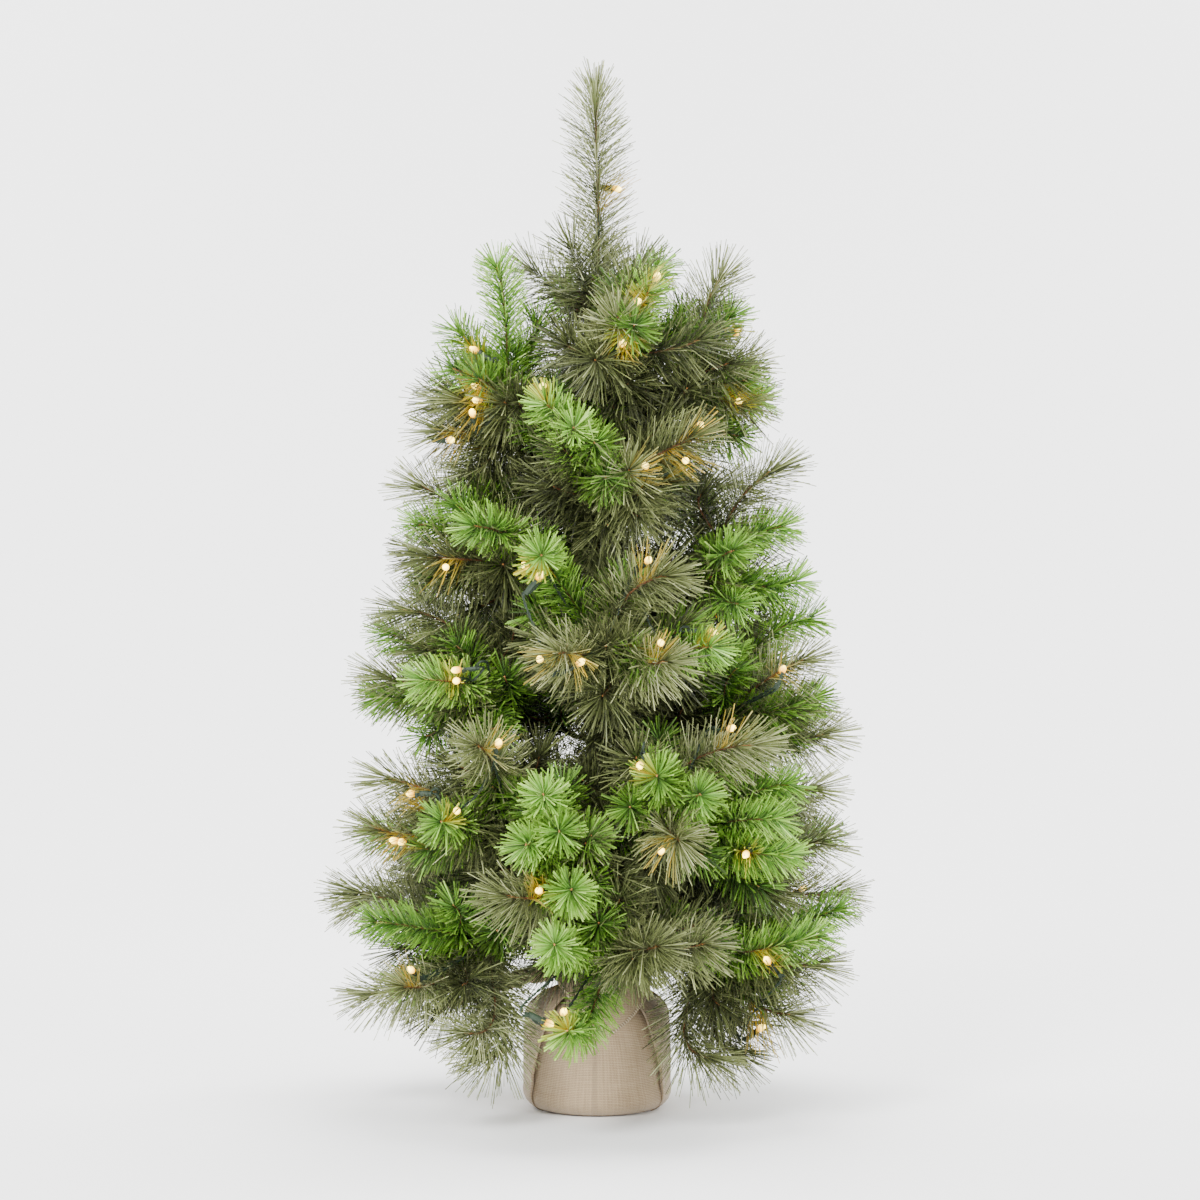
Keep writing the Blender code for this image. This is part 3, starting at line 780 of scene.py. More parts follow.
@dataclass(frozen=True)
class BurlapFinish:
    """Jute cloth: over-and-under threads, uneven in colour and thickness, with painted shade
    between the threads and lighter thread crowns.
    """

    name: str
    pitch: float = 0.00145
    gap_shade: Colour = (0.155, 0.105, 0.060)
    thread: Colour = (0.34, 0.245, 0.145)
    light: Colour = (0.48, 0.365, 0.230)

    def make(self) -> bpy.types.Material:
        """Builds the material."""
        shader = Shader(self.name)
        weave = shader.nodes.new("ShaderNodeUVMap")
        weave.uv_map = "weave"
        parts = shader.nodes.new("ShaderNodeSeparateXYZ")
        shader.links.new(weave.outputs["UV"], parts.inputs[0])
        waves = [shader.maths("SINE", shader.maths("MULTIPLY", parts.outputs[axis],
                                                   math.pi / self.pitch), 0.0) for axis in (0, 1)]
        warp, weft = (shader.maths("ABSOLUTE", wave, 0.0) for wave in waves)
        over = shader.spread(shader.maths("MULTIPLY", waves[0], waves[1]), 0.5, 1.0)
        under = shader.spread(shader.maths("MULTIPLY", waves[0], waves[1]), 1.0, 0.5)
        height = shader.maths("MAXIMUM", shader.maths("MULTIPLY", warp, over),
                              shader.maths("MULTIPLY", weft, under))
        slub = shader.maths("MULTIPLY", self.slub(shader, weave, (40, 900)),
                            self.slub(shader, weave, (900, 40)))
        # Painted shade and light: the weave's relief is coloured dark in the gaps between threads
        # and lighter on their crowns; the slubs add the threads' own unevenness.
        shade = shader.maths("ADD", shader.maths("MULTIPLY", height, 0.75),
                             shader.maths("MULTIPLY", slub, 0.9))
        colour = shader.ramp(shade, ((0.15, self.gap_shade), (0.95, self.light), (0.6, self.thread)))
        colour = shader.scaled(colour, shader.spread(shader.noise(18.0, 3.0), 0.78, 1.22))
        shader.feed("Base Color", colour)
        shader.set(Roughness=0.95, Specular_IOR_Level=0.15, Sheen_Weight=0.35, Sheen_Roughness=0.5)
        shader.bump(shade, 0.0005, 0.9)
        return shader.material

    @staticmethod
    def slub(shader: Shader, weave: bpy.types.Node,
             stretch: tuple[float, float]) -> bpy.types.NodeSocket:
        """Unevenness along one set of threads.

        Args:
            shader: The cloth's shader.
            weave: The node that gives the weave coordinates.
            stretch: How many patches there are to the metre, along and across.

        Returns:
            The unevenness, from 0 to 1.
        """
        spread = shader.nodes.new("ShaderNodeMapping")
        spread.inputs["Scale"].default_value = (*stretch, 1)
        shader.links.new(weave.outputs["UV"], spread.inputs["Vector"])
        noise = shader.nodes.new("ShaderNodeTexNoise")
        noise.inputs["Scale"].default_value = 1.0
        shader.links.new(spread.outputs["Vector"], noise.inputs["Vector"])
        return noise.outputs["Fac"]


@dataclass(frozen=True)
class BandedFinish:
    """Bands across the Z axis, straight or slanting: wrapped tape, twisted leads, wood grain."""

    name: str
    dark: Colour
    pale: Colour
    scale: float
    stretch: Place = (1, 1, 1)
    roughness: float = 0.6
    distortion: float = 2.0
    depth: float = 0.0003

    def make(self) -> bpy.types.Material:
        """Builds the material."""
        shader = Shader(self.name)
        spread = shader.nodes.new("ShaderNodeMapping")
        spread.inputs["Scale"].default_value = self.stretch
        shader.links.new(shader.place(), spread.inputs["Vector"])
        wave = shader.nodes.new("ShaderNodeTexWave")
        wave.bands_direction = "DIAGONAL"
        wave.inputs["Scale"].default_value = self.scale
        wave.inputs["Distortion"].default_value = self.distortion
        wave.inputs["Detail"].default_value = 3.0
        shader.links.new(spread.outputs["Vector"], wave.inputs["Vector"])
        colour = shader.ramp(wave.outputs["Fac"], ((0.1, self.dark), (0.9, self.pale)))
        colour = shader.scaled(colour, shader.spread(shader.noise(120.0), 0.75, 1.25))
        shader.feed("Base Color", colour)
        shader.set(Roughness=self.roughness)
        shader.bump(wave.outputs["Fac"], self.depth, 0.8)
        return shader.material


@dataclass(frozen=True)
class CellFinish:
    """A round cell's printed sleeve: dark, with a copper band round its upper end."""

    name: str
    middle: float
    band: float
    dark: Colour = (0.025, 0.025, 0.03)
    copper: Colour = (0.55, 0.26, 0.10)

    def make(self) -> bpy.types.Material:
        """Builds the material."""
        shader = Shader(self.name)
        parts = shader.nodes.new("ShaderNodeSeparateXYZ")
        shader.links.new(shader.place(), parts.inputs[0])
        height = shader.maths("SUBTRACT", parts.outputs["Z"], self.middle)
        shift = shader.maths("ADD", shader.maths("MULTIPLY", height, 40.0), self.band)
        colour = shader.ramp(shift, ((0.48, self.dark), (0.52, self.copper)))
        shader.feed("Base Color", colour)
        shader.feed("Roughness", shader.spread(shader.noise(300.0), 0.22, 0.42))
        shader.set(Metallic=0.6)
        return shader.material


# Crown


@dataclass(frozen=True)
class Growth:
    """How one kind of tip grows its needles: lengths in metres and leans in degrees."""

    length: float
    width: float
    thickness: float
    per_metre: float
    lean_foot: float
    lean_end: float
    sag: float


GROWTH: dict[Tip, Growth] = {
    FIR: Growth(length=0.0265, width=0.00125, thickness=0.0005, per_metre=5600, lean_foot=57,
                lean_end=49, sag=0.0010),
    PINE: Growth(length=0.0390, width=0.00080, thickness=0.0006, per_metre=4300, lean_foot=56,
                 lean_end=27, sag=0.0040),
}


@dataclass
class Stem:
    """One wire stem: its path, its kind, how full it is and its painted shade, how light its
    needles are painted.
    """

    path: Point
    kind: Tip
    fullness: float = 1.0
    # Painted shade: stems deep in the crown get a low value and darker needles.
    shade: float = 0.5


@dataclass(frozen=True)
class Sprig:
    """A short tip that leaves a branch's rod: how far out, which way, how long, which kind."""

    share: float
    across: float
    lift: float
    length: float
    kind: Tip


INNER_SPRIGS = (
    Sprig(0.52, 1, 0.35, 0.072, PINE), Sprig(0.66, -1, 0.30, 0.076, FIR),
    Sprig(0.84, 1, -0.30, 0.070, PINE), Sprig(0.95, -1, -0.35, 0.074, PINE),
    Sprig(0.90, 0, 1.0, 0.068, FIR), Sprig(0.75, 0, -1.1, 0.062, PINE),
    Sprig(0.16, 0.35, 2.6, 0.066, PINE), Sprig(0.30, -0.5, -2.6, 0.062, PINE),
    Sprig(0.36, 0.9, 1.6, 0.064, PINE), Sprig(0.22, -0.9, 1.2, 0.060, FIR),
    Sprig(0.55, 0.3, -2.0, 0.060, PINE), Sprig(0.62, -0.4, 2.0, 0.060, PINE),
)


@dataclass
class Branch:
    """One branch's stems and lamps. The long tips' stems come before the rod's, sprigs after it."""

    name: str
    hinge: Point
    turn: float
    stems: list[Stem] = field(default_factory=list)
    lamps: list[Point] = field(default_factory=list)
    rod: int = 0


@dataclass
class Crown:
    """All branches: needles, stems, lamps and the light string's loops.

    Heights are above the neck. The crown is widest near its foot and narrows towards its top.
    """

    neck: float
    radius: float = 0.230
    top_radius: float = 0.125
    foot_radius: float = 0.115
    widest: float = 0.072
    top: float = 0.632
    foot: float = -0.088
    rod_share: float = 0.38
    fork: float = 0.0078
    overhang: float = 0.017
    lamp_gap: tuple[float, float] = (0.006, 0.016)
    side_sprigs: tuple[tuple[float, float], ...] = ((0.22, 0.066), (0.42, 0.052))
    seed: int = 7
    branches: list[Branch] = field(default_factory=list)

    def outline(self, height: float) -> float:
        """The crown's radius at a height above the neck."""
        if height >= self.widest:
            share = (height - self.widest) / (self.top - self.widest)
            return self.radius - (self.radius - self.top_radius) * share**1.5
        share = (self.widest - height) / (self.widest - self.foot)
        return self.radius - (self.radius - self.foot_radius) * share**3.7

    def on_outline(self, turn: float, height: float, inset: float = 1.0) -> Point:
        """A point on the crown's outline, or inside it.

        Args:
            turn: Its turn about the trunk in degrees.
            height: Its height above the neck in mm.
            inset: How far out it lies, 1 on the outline.

        Returns:
            The point.
        """
        above = height * MM
        return facing(turn) * self.outline(above) * inset + at_height(self.neck + above)

    @staticmethod
    def stem_path(start: Point, heading: Point, end: Point, count: int = 24,
                  level: float = 0.0, swing: Point | float = 0.0) -> Point:
        """A stem that leaves along a heading and curves to its end.

        Args:
            start: Where it leaves.
            heading: Which way it leaves.
            end: Where it ends.
            count: How many points it has.
            level: How much of its last stretch runs level and outwards, from 0 to 1.
            swing: What is added to the way outwards.

        Returns:
            The stem's points.
        """
        reach = float(np.linalg.norm(end - start))
        first = start + unit(heading) * reach * (0.32 - 0.10 * level)
        straight = end - (end - start) * 0.36 - at_height(reach * 0.07)
        turn = abs(turn_of(end))
        aside = turn if turn < 90 else 180 - turn
        spread = math.radians(min(90.0, aside * 1.4))
        outwards = np.array((math.copysign(math.sin(spread), end[0]),
                             math.copysign(math.cos(spread), end[1]), 0.16)) + swing
        second = straight * (1 - level) + (end - outwards * reach * 0.55) * level
        t = np.linspace(0, 1, count)[:, None]
        return ((1 - t)**3 * start + 3 * (1 - t)**2 * t * first + 3 * (1 - t) * t**2 * second
                + t**3 * end)

    def grow(self) -> None:
        """Lays out every branch's stems from its hinge and its tips."""
        rng = np.random.default_rng(self.seed)
        joints = {joint["child"]: joint for joint in frame["joints"]}
        for number, tips in enumerate(BRANCH_TIPS, 1):
            name = f"branch_{number:02d}"
            hinge = np.array(joints[name]["pos_m"])
            ends = [self.on_outline(turn, height) for _, turn, height in tips]
            middle = np.mean(ends, axis=0) - hinge
            heading = unit(middle)
            core = hinge + middle * self.rod_share + heading * self.fork
            branch = Branch(name, hinge, turn_of(middle))
            for kind, turn, height in (*tips, *LOW_TIPS.get(number, ())):
                path = self.tip_path(core, heading, turn, height, rng)
                # Painted shade: the long tips, on the outside, are painted lighter than the rod and
                # sprigs within.
                branch.stems.append(Stem(path, kind, shade=0.40 + 0.30 * rng.random()))
            branch.rod = len(branch.stems)
            rod = np.linspace(hinge + heading * 0.006, core, 12)
            # Painted shade: the rod's needles, deep in the crown, are painted dark.
            branch.stems.append(Stem(rod, PINE, fullness=0.45, shade=0.1))
            self.add_inner_sprigs(branch, core, heading, rng)
            self.add_side_sprigs(branch, rng)
            self.branches.append(branch)

    def tip_path(self, core: Point, heading: Point, turn: float, height: float,
                 rng: np.random.Generator) -> Point:
        """A long tip's stem, which swings a little aside and runs less level near the top.

        Args:
            core: Where the tips fork.
            heading: The branch's direction.
            turn: The tip's turn about the trunk in degrees.
            height: Its height above the neck in mm.
            rng: The crown's draws.

        Returns:
            The stem's points.
        """
        end = self.on_outline(turn, height)
        short = end - unit(end - core) * self.overhang
        aside = np.cross(unit(end * (1, 1, 0)), UP)[:2] * rng.uniform(-0.7, 0.7)
        swing = np.append(aside, rng.uniform(-0.25, 0.25))
        level = float(np.interp(height, (380, 540), (0.8, 0.2)))
        return self.stem_path(core, heading, short, level=level, swing=swing)

    def add_inner_sprigs(self, branch: Branch, core: Point, heading: Point,
                         rng: np.random.Generator) -> None:
        """Adds short tips that leave the rod and fill the crown's inside.

        Args:
            branch: The branch.
            core: Where its tips fork.
            heading: Its direction.
            rng: The crown's draws.
        """
        side = unit(np.cross(heading, UP))
        up = np.cross(side, heading)
        for sprig in INNER_SPRIGS:
            start = branch.hinge + (core - branch.hinge) * sprig.share
            swing = heading + side * sprig.across * (0.95 + 0.2 * rng.random()) + up * sprig.lift
            end = start + unit(swing) * sprig.length * (0.9 + 0.25 * rng.random())
            # Painted shade: the sprigs inside the crown are painted dark.
            shade = 0.02 + 0.20 * rng.random()
            if self.clears_sack(end):
                path = self.stem_path(start, heading + unit(swing), end, 14)
                branch.stems.append(Stem(path, sprig.kind, fullness=0.75, shade=shade))

    def clears_sack(self, end: Point) -> bool:
        """Whether a sprig's end stays off the sack's shoulders."""
        beside = abs(end[0]) > 0.095 or end[1] > 0.095
        return end[2] > self.neck + 0.022 or (beside and math.hypot(end[0], end[1]) > 0.135)

    def add_side_sprigs(self, branch: Branch, rng: np.random.Generator) -> None:
        """Adds short side tips that fork off each long tip and fill the gaps between them.

        Args:
            branch: The branch.
            rng: The crown's draws.
        """
        for stem in branch.stems[:branch.rod]:
            along, side, up = frames_along(stem.path)
            turn = rng.random() * 2 * math.pi
            for share, length in self.side_sprigs:
                at = int(share * (len(stem.path) - 1))
                turn += math.pi + rng.normal(0, 0.4)
                swing = side[at] * math.cos(turn) + up[at] * math.sin(turn)
                direction = unit(along[at] + swing * 0.95)
                end = stem.path[at] + direction * length * (0.9 + 0.2 * rng.random())
                path = self.stem_path(stem.path[at], along[at] + 0.3 * swing, end, 12, level=0.4)
                # Painted shade: the side sprigs, within the long tips, are painted darker than
                # them.
                shade = 0.10 + 0.35 * rng.random()
                if self.clears_sack(end):
                    branch.stems.append(Stem(path, stem.kind, fullness=0.8, shade=shade))

    def hang_lamps(self) -> None:
        """Gives each lamp to the nearest stem and sets it beside that stem."""
        stems = [(branch, stem.path) for branch in self.branches
                 for stem in branch.stems[:branch.rod]]
        least, most = self.lamp_gap
        for turn, height in LAMPS:
            target = self.on_outline(turn, height, 0.88)
            gaps = [np.linalg.norm(path - target, axis=1) for _, path in stems]
            nearest = min(range(len(stems)), key=lambda index: float(gaps[index].min()))
            branch, path = stems[nearest]
            near = path[int(gaps[nearest].argmin())]
            away = target - near
            distance = float(np.linalg.norm(away))
            branch.lamps.append(near + away / max(distance, 1e-6) * min(max(distance, least), most))

    def all_lamps(self) -> Point:
        """Every lamp's place."""
        return np.array([lamp for branch in self.branches for lamp in branch.lamps])

    def build(self) -> None:
        """Makes every branch, the leader, the trunk's fringe and the string of lamps."""
        self.grow()
        self.hang_lamps()
        patterns = {FIR: needle_pattern(0.75, 0.62), PINE: needle_pattern(0.9, 0.35)}
        leader = Leader(*(corner.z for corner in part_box("leader_tip")))
        finishes = {
            FIR: NeedleFinish("fir_needles", foot=(0.050, 0.110, 0.018),
                              middle=(0.165, 0.38, 0.032), end=(0.25, 0.46, 0.040),
                              dry=(0.07, 0.20, 0.05), pale=(0.46, 0.63, 0.17),
                              roughness=0.45).make(),
            PINE: NeedleFinish("pine_needles", foot=(0.050, 0.052, 0.018),
                               middle=(0.150, 0.180, 0.052), end=(0.225, 0.25, 0.090),
                               dry=(0.080, 0.110, 0.045), pale=(0.46, 0.48, 0.26),
                               roughness=0.42).make(),
        }
        wire = StemFinish("stem_wire", foot=(0.180, 0.075, 0.028), end=(0.62, 0.27, 0.08)).make()
        maker = NeedleMaker(np.vstack((self.all_lamps(), leader.lamp)), patterns, finishes, wire)
        lights = LightString()
        for branch in self.branches:
            maker.dress_branch(branch)
            lights.along_branch(branch)
        lights.round_trunk(self.branches)
        leader.build(maker, lights)
        tape_low, tape_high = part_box("trunk_tape")
        Tinsel(tape_low.z + 0.030, tape_high.z).build(patterns[PINE])


@dataclass
class NeedleMaker:
    """Grows needles on stems, as copies of the two patterns, and makes the stems' wires."""

    lamps: Point
    patterns: dict[Tip, Pattern]
    finishes: dict[Tip, bpy.types.Material]
    wire: bpy.types.Material
    glow_reach: float = 0.0155
    tuft: int = 7
    off_wire: float = 0.0008
    spin_jitter: float = 0.25
    lean_jitter: float = 7.0
    tone_jitter: float = 0.26
    seed: int = 11

    def __post_init__(self) -> None:
        """Starts the draws."""
        self.rng = np.random.default_rng(self.seed)

    def fresh(self) -> dict[Tip, Copies]:
        """An empty collection of needles for each kind."""
        return {kind: Copies(pattern) for kind, pattern in self.patterns.items()}

    def dress_branch(self, branch: Branch) -> None:
        """Makes one branch's needles and stems."""
        into = self.fresh()
        tubes = Tubes(sides=4)
        for index, stem in enumerate(branch.stems):
            self.dress(stem, into)
            if index < branch.rod:
                twisted(stem.path, tubes)
            elif index > branch.rod:
                tubes.add(stem.path, 0.0008)
        rod = branch.stems[branch.rod].path
        twisted(np.vstack((branch.hinge, rod)), tubes, pitch=0.009, offset=0.0011, strand=0.0012)
        for kind, copies in into.items():
            if copies.count:
                piece = copies.piece(f"{branch.name}_{kind.value}_needles")
                dress_piece(piece, self.finishes[kind], branch.name)
        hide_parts(f"{branch.name}_tips")
        stems = tubes.piece(f"{branch.name}_stems")
        dress_piece(stems, self.wire, branch.name)
        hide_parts(f"{branch.name}_rod")

    def glow(self, places: Point) -> Point:
        """How strongly the painted lamp light shows at places, from 0 to 1, by their distance from
        the nearest lamp.
        """
        nearest = np.full(len(places), np.inf)
        for lamp in self.lamps:
            nearest = np.minimum(nearest, np.linalg.norm(places - lamp, axis=1))
        return np.clip(1 - nearest / self.glow_reach, 0, 1)**1.2

    def dress(self, stem: Stem, into: dict[Tip, Copies]) -> None:
        """Grows one stem's needles: a spiral along it, and a tuft at its end.

        Args:
            stem: The stem.
            into: Where each kind's needles are collected.
        """
        growth = GROWTH[stem.kind]
        rng = self.rng
        steps = np.linalg.norm(np.diff(stem.path, axis=0), axis=1)
        length = float(steps.sum())
        count = int(length * growth.per_metre * stem.fullness)
        share = (np.arange(count) + rng.random(count)) / count
        at = np.interp(share * length, np.concatenate(([0.0], np.cumsum(steps))),
                       np.arange(len(stem.path)))
        tuft = int(self.tuft + self.tuft * stem.fullness)
        at = np.concatenate((at, len(stem.path) - 1 - rng.random(tuft) * 0.3))
        share = np.concatenate((share, np.full(tuft, 1.0)))
        along, side, up = frames_along(stem.path)
        low = np.minimum(at.astype(int), len(stem.path) - 2)
        part = (at - low)[:, None]
        places = stem.path[low] * (1 - part) + stem.path[low + 1] * part
        count = len(at)
        spin = np.arange(count) * GOLDEN_TURN + rng.normal(0, self.spin_jitter, count)
        out = side[low] * np.cos(spin)[:, None] + up[low] * np.sin(spin)[:, None]
        lean = np.interp(share, (0, 0.8, 0.97, 1), (growth.lean_foot, growth.lean_foot - 4,
                                                    growth.lean_end, growth.lean_end * 0.68))
        lean = np.radians(lean + rng.normal(0, self.lean_jitter, count))[:, None]
        direction = unit(along[low] * np.cos(lean) + out * np.sin(lean))
        sizes = np.empty((count, 3))
        sizes[:, 0] = growth.width * (0.85 + 0.3 * rng.random(count))
        sizes[:, 1] = growth.thickness
        taper = np.interp(share, (0, 0.06, 0.90, 1), (0.75, 1, 1, 0.88))
        sizes[:, 2] = growth.length * (0.76 + 0.36 * rng.random(count)) * taper
        across = np.cross(direction, along[low]) + 0.5 * rng.normal(0, 1, (count, 3))
        # The tone is the stem's painted shade plus each needle's random tone.
        tone = np.clip(stem.shade + rng.normal(0, self.tone_jitter, count), 0, 1)
        # Painted lamp light: the glow mark falls off with distance from the nearest lamp.
        glow = self.glow(places + direction * growth.length * 0.5)
        into[stem.kind].add(places + out * self.off_wire, direction, across, sizes,
                            bend=growth.sag * (0.5 + rng.random(count)), tone=tone, glow=glow)


@dataclass
class LightString:
    """Lamps in sockets, and the twisted wires that carry them along the branches."""

    glass: float = 0.0061
    glass_length: float = 0.0094
    socket: float = 0.0066
    socket_length: float = 0.0165
    seat: float = 0.002
    strand: float = 0.00062
    beside: float = 0.0036
    trunk_reach: float = 0.0102
    lead_turn: float = 95.0
    seed: int = 23

    def __post_init__(self) -> None:
        """Models the lamp and the socket once."""
        self.rng = np.random.default_rng(self.seed)
        self.lamp_shape = lamp_pattern()
        self.socket_shape = socket_pattern()
        self.lamp_finish = LampFinish("lamp_glow", heart=(1.0, 0.72, 0.10),
                                      foot=(1.0, 0.46, 0.01), strength=12.0).make()
        self.wire_finish = MouldedFinish("light_wire", (0.014, 0.030, 0.014), 0.58,
                                         cloud=0.3).make()

    def lay(self, route: Sequence[Point], wires: Tubes) -> None:
        """Lays a twisted pair of wires along a route."""
        twisted(smooth_path(route, 0.004), wires, pitch=0.016, offset=self.strand * 1.05,
                strand=self.strand)

    def dress(self, body: str, lamps: Sequence[Point], start: Sequence[Point],
              finish: Sequence[Point]) -> None:
        """Makes one body's lamps, sockets and wires.

        Args:
            body: The body that they ride on.
            lamps: The lamps' places, in the order in which the wires reach them.
            start: Points that the wires follow to the first lamp.
            finish: Points that they follow back from the last lamp.
        """
        places = np.array(lamps)
        outward = unit(places * (1, 1, 0))
        aim = unit(outward * 0.7 + self.rng.normal(0, 0.45, places.shape) + (0, 0, 0.25))
        glasses, sockets = Copies(self.lamp_shape), Copies(self.socket_shape)
        side = self.rng.normal(0, 1, places.shape)
        count = len(places)
        glass = np.tile((self.glass, self.glass, self.glass_length), (count, 1))
        sleeve = np.tile((self.socket, self.socket, self.socket_length), (count, 1))
        glasses.add(places - aim * self.glass_length / 2, aim, side, glass)
        feet = places - aim * (self.glass_length / 2 + self.socket_length - self.seat)
        sockets.add(feet, aim, side, sleeve)
        wires = Tubes(sides=5)
        route = list(start)
        for index, (foot, ahead) in enumerate(zip(feet, aim)):
            if index:
                last = feet[index - 1]
                pull = min(0.5, max(0.0, float(np.linalg.norm(last - foot)) - 0.05) * 4)
                route.append((last + foot) / 2 * (1 - pull) + start[-1] * pull - at_height(0.006))
            route += [foot - ahead * 0.004, foot + ahead * 0.004,
                      foot - ahead * 0.006 + at_height(0.004)]
        self.lay([*route, *finish], wires)
        dress_piece(glasses.piece(f"{body}_lamps", smooth=True), self.lamp_finish, body)
        dress_piece(sockets.piece(f"{body}_sockets"), self.wire_finish, body)
        dress_piece(wires.piece(f"{body}_wires"), self.wire_finish, body)

    def along_branch(self, branch: Branch) -> None:
        """Runs the string out along a branch and back again."""
        if not branch.lamps:
            return
        axis = crosswise(branch.turn)
        rod = branch.stems[branch.rod].path
        middle, core = rod[len(rod) // 2], rod[-1]
        below = at_height(0.0025)
        out = [branch.hinge + axis * self.beside, middle + axis * 0.0045 - below,
               core + axis * 0.006]
        back = [core - axis * 0.006 - below, middle - axis * 0.0045 - below,
                branch.hinge - axis * self.beside]
        lamps = sorted(branch.lamps, key=turn_of)
        if float((lamps[0] - lamps[-1]) @ axis) < 0:
            lamps.reverse()
        self.dress(branch.name, lamps, out, back)

    def round_trunk(self, branches: Sequence[Branch]) -> None:
        """Runs wires round the trunk, from the lead to each branch's hinge."""
        wires = Tubes(sides=5)
        for branch in (branch for branch in branches if branch.lamps):
            for sign in (-1, 1):
                end = branch.hinge + sign * crosswise(branch.turn) * self.beside
                swing = (turn_of(end) - self.lead_turn + 180) % 360 - 180
                turns = self.lead_turn + np.linspace(0, swing, max(5, int(abs(swing) / 12)))
                rise = np.linspace(-0.012, 0, len(turns))
                reach = np.interp(np.linspace(0, 1, len(turns)), (0.8, 1),
                                  (self.trunk_reach, math.hypot(end[0], end[1])))
                self.lay([facing(turn) * out + at_height(end[2] + lift)
                          for turn, out, lift in zip(turns, reach, rise)], wires)
        dress_piece(wires.piece("trunk_wires"), self.wire_finish, "root")


@dataclass
class Leader:
    """The upright tip on the end of the trunk, with the string's first lamp on it."""

    foot: float
    top: float
    lamp: Place = (0.0175, -0.006, 0.800)
    collar: tuple[tuple[float, float, float, Tip], ...] = (
        (-25, 0.055, 0.045, PINE), (40, 0.040, 0.050, PINE), (105, 0.045, 0.050, FIR),
        (170, 0.055, 0.045, PINE), (-95, 0.040, 0.050, PINE), (-150, 0.030, 0.055, FIR))
    wires_up: tuple[Place, ...] = ((0.0108, 0.001, -0.012), (0.004, 0.0045, 0.012),
                                   (-0.004, 0.001, 0.034), (0.002, -0.0045, 0.055))
    wires_down: tuple[Place, ...] = ((0.0045, 0.003, 0.052), (-0.0035, 0.0035, 0.030),
                                     (0.003, -0.004, 0.010), (0.0106, 0.003, -0.014))

    def above_foot(self, places: Sequence[Place]) -> list[Point]:
        """Places whose heights are given from the leader's foot."""
        return [np.array((x, y, self.foot + rise)) for x, y, rise in places]

    def build(self, maker: NeedleMaker, lights: LightString) -> None:
        """Makes the leader's stem, its needles, its collar of short tips, its lamp and its wires.

        Args:
            maker: Grows the needles.
            lights: Makes the lamp and the wires.
        """
        rise = np.linspace(0, 1, 30)
        path = np.stack((0.0012 * np.sin(rise * 5), 0.001 * np.cos(rise * 4) - 0.001,
                         self.foot - 0.004 + (self.top - 0.014 - self.foot) * rise), axis=1)
        into = maker.fresh()
        # Painted shade: the leader and its collar are painted mid-light, like outer tips.
        maker.dress(Stem(path, PINE, fullness=1.2, shade=0.55), into)
        for turn, lift, reach, kind in self.collar:
            root = facing(turn) * 0.007 + at_height(self.foot - 0.022)
            end = root + facing(turn) * reach + at_height(lift)
            side_path = Crown.stem_path(root, facing(turn) * 0.6 + UP, end, 12)
            maker.dress(Stem(side_path, kind, fullness=0.9, shade=0.45), into)
        for kind, copies in into.items():
            needles = copies.piece(f"leader_{kind.value}_needles")
            dress_piece(needles, maker.finishes[kind], "root")
        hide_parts("leader_tip")
        tubes = Tubes(sides=4)
        twisted(path, tubes)
        dress_piece(tubes.piece("leader_stem"), maker.wire, "root")
        lights.dress("root", [np.array(self.lamp)], self.above_foot(self.wires_up),
                     self.above_foot(self.wires_down))


@dataclass
class Tinsel:
    """The brown fringe bound in with the trunk's tape."""

    low: float
    high: float
    radius: float = 0.0086
    width: float = 0.0011
    thickness: float = 0.0005
    length: float = 0.015
    count: int = 5200
    seed: int = 5

    def build(self, pattern: Pattern) -> None:
        """Makes the fringe from copies of a pattern."""
        rng = np.random.default_rng(self.seed)
        turns = rng.random(self.count) * 2 * math.pi
        out = np.stack((np.sin(turns), -np.cos(turns), np.zeros(self.count)), axis=1)
        round_it = np.cross(UP, out)
        places = out * self.radius * 0.96
        places[:, 2] = self.low + (self.high - self.low) * rng.random(self.count)
        aim = unit(out * (0.35 + 0.65 * rng.random((self.count, 1)))
                   + round_it * rng.normal(0, 0.5, (self.count, 1))
                   + UP * rng.normal(0.25, 0.55, (self.count, 1)))
        fibres = Copies(pattern)
        sizes = np.tile((self.width, self.thickness, self.length), (self.count, 1))
        sizes[:, 2] *= 0.6 + 0.7 * rng.random(self.count)
        fibres.add(places, aim, rng.normal(0, 1, (self.count, 3)), sizes, bend=0.002,
                   tone=rng.random(self.count), glow=np.zeros(self.count))
        finish = NeedleFinish("brown_tinsel", foot=(0.030, 0.009, 0.006),
                              middle=(0.060, 0.017, 0.010), end=(0.12, 0.040, 0.022),
                              dry=(0.05, 0.03, 0.015), pale=(0.16, 0.06, 0.035),
                              roughness=0.45).make()
        dress_piece(fibres.piece("trunk_tinsel"), finish, "root")


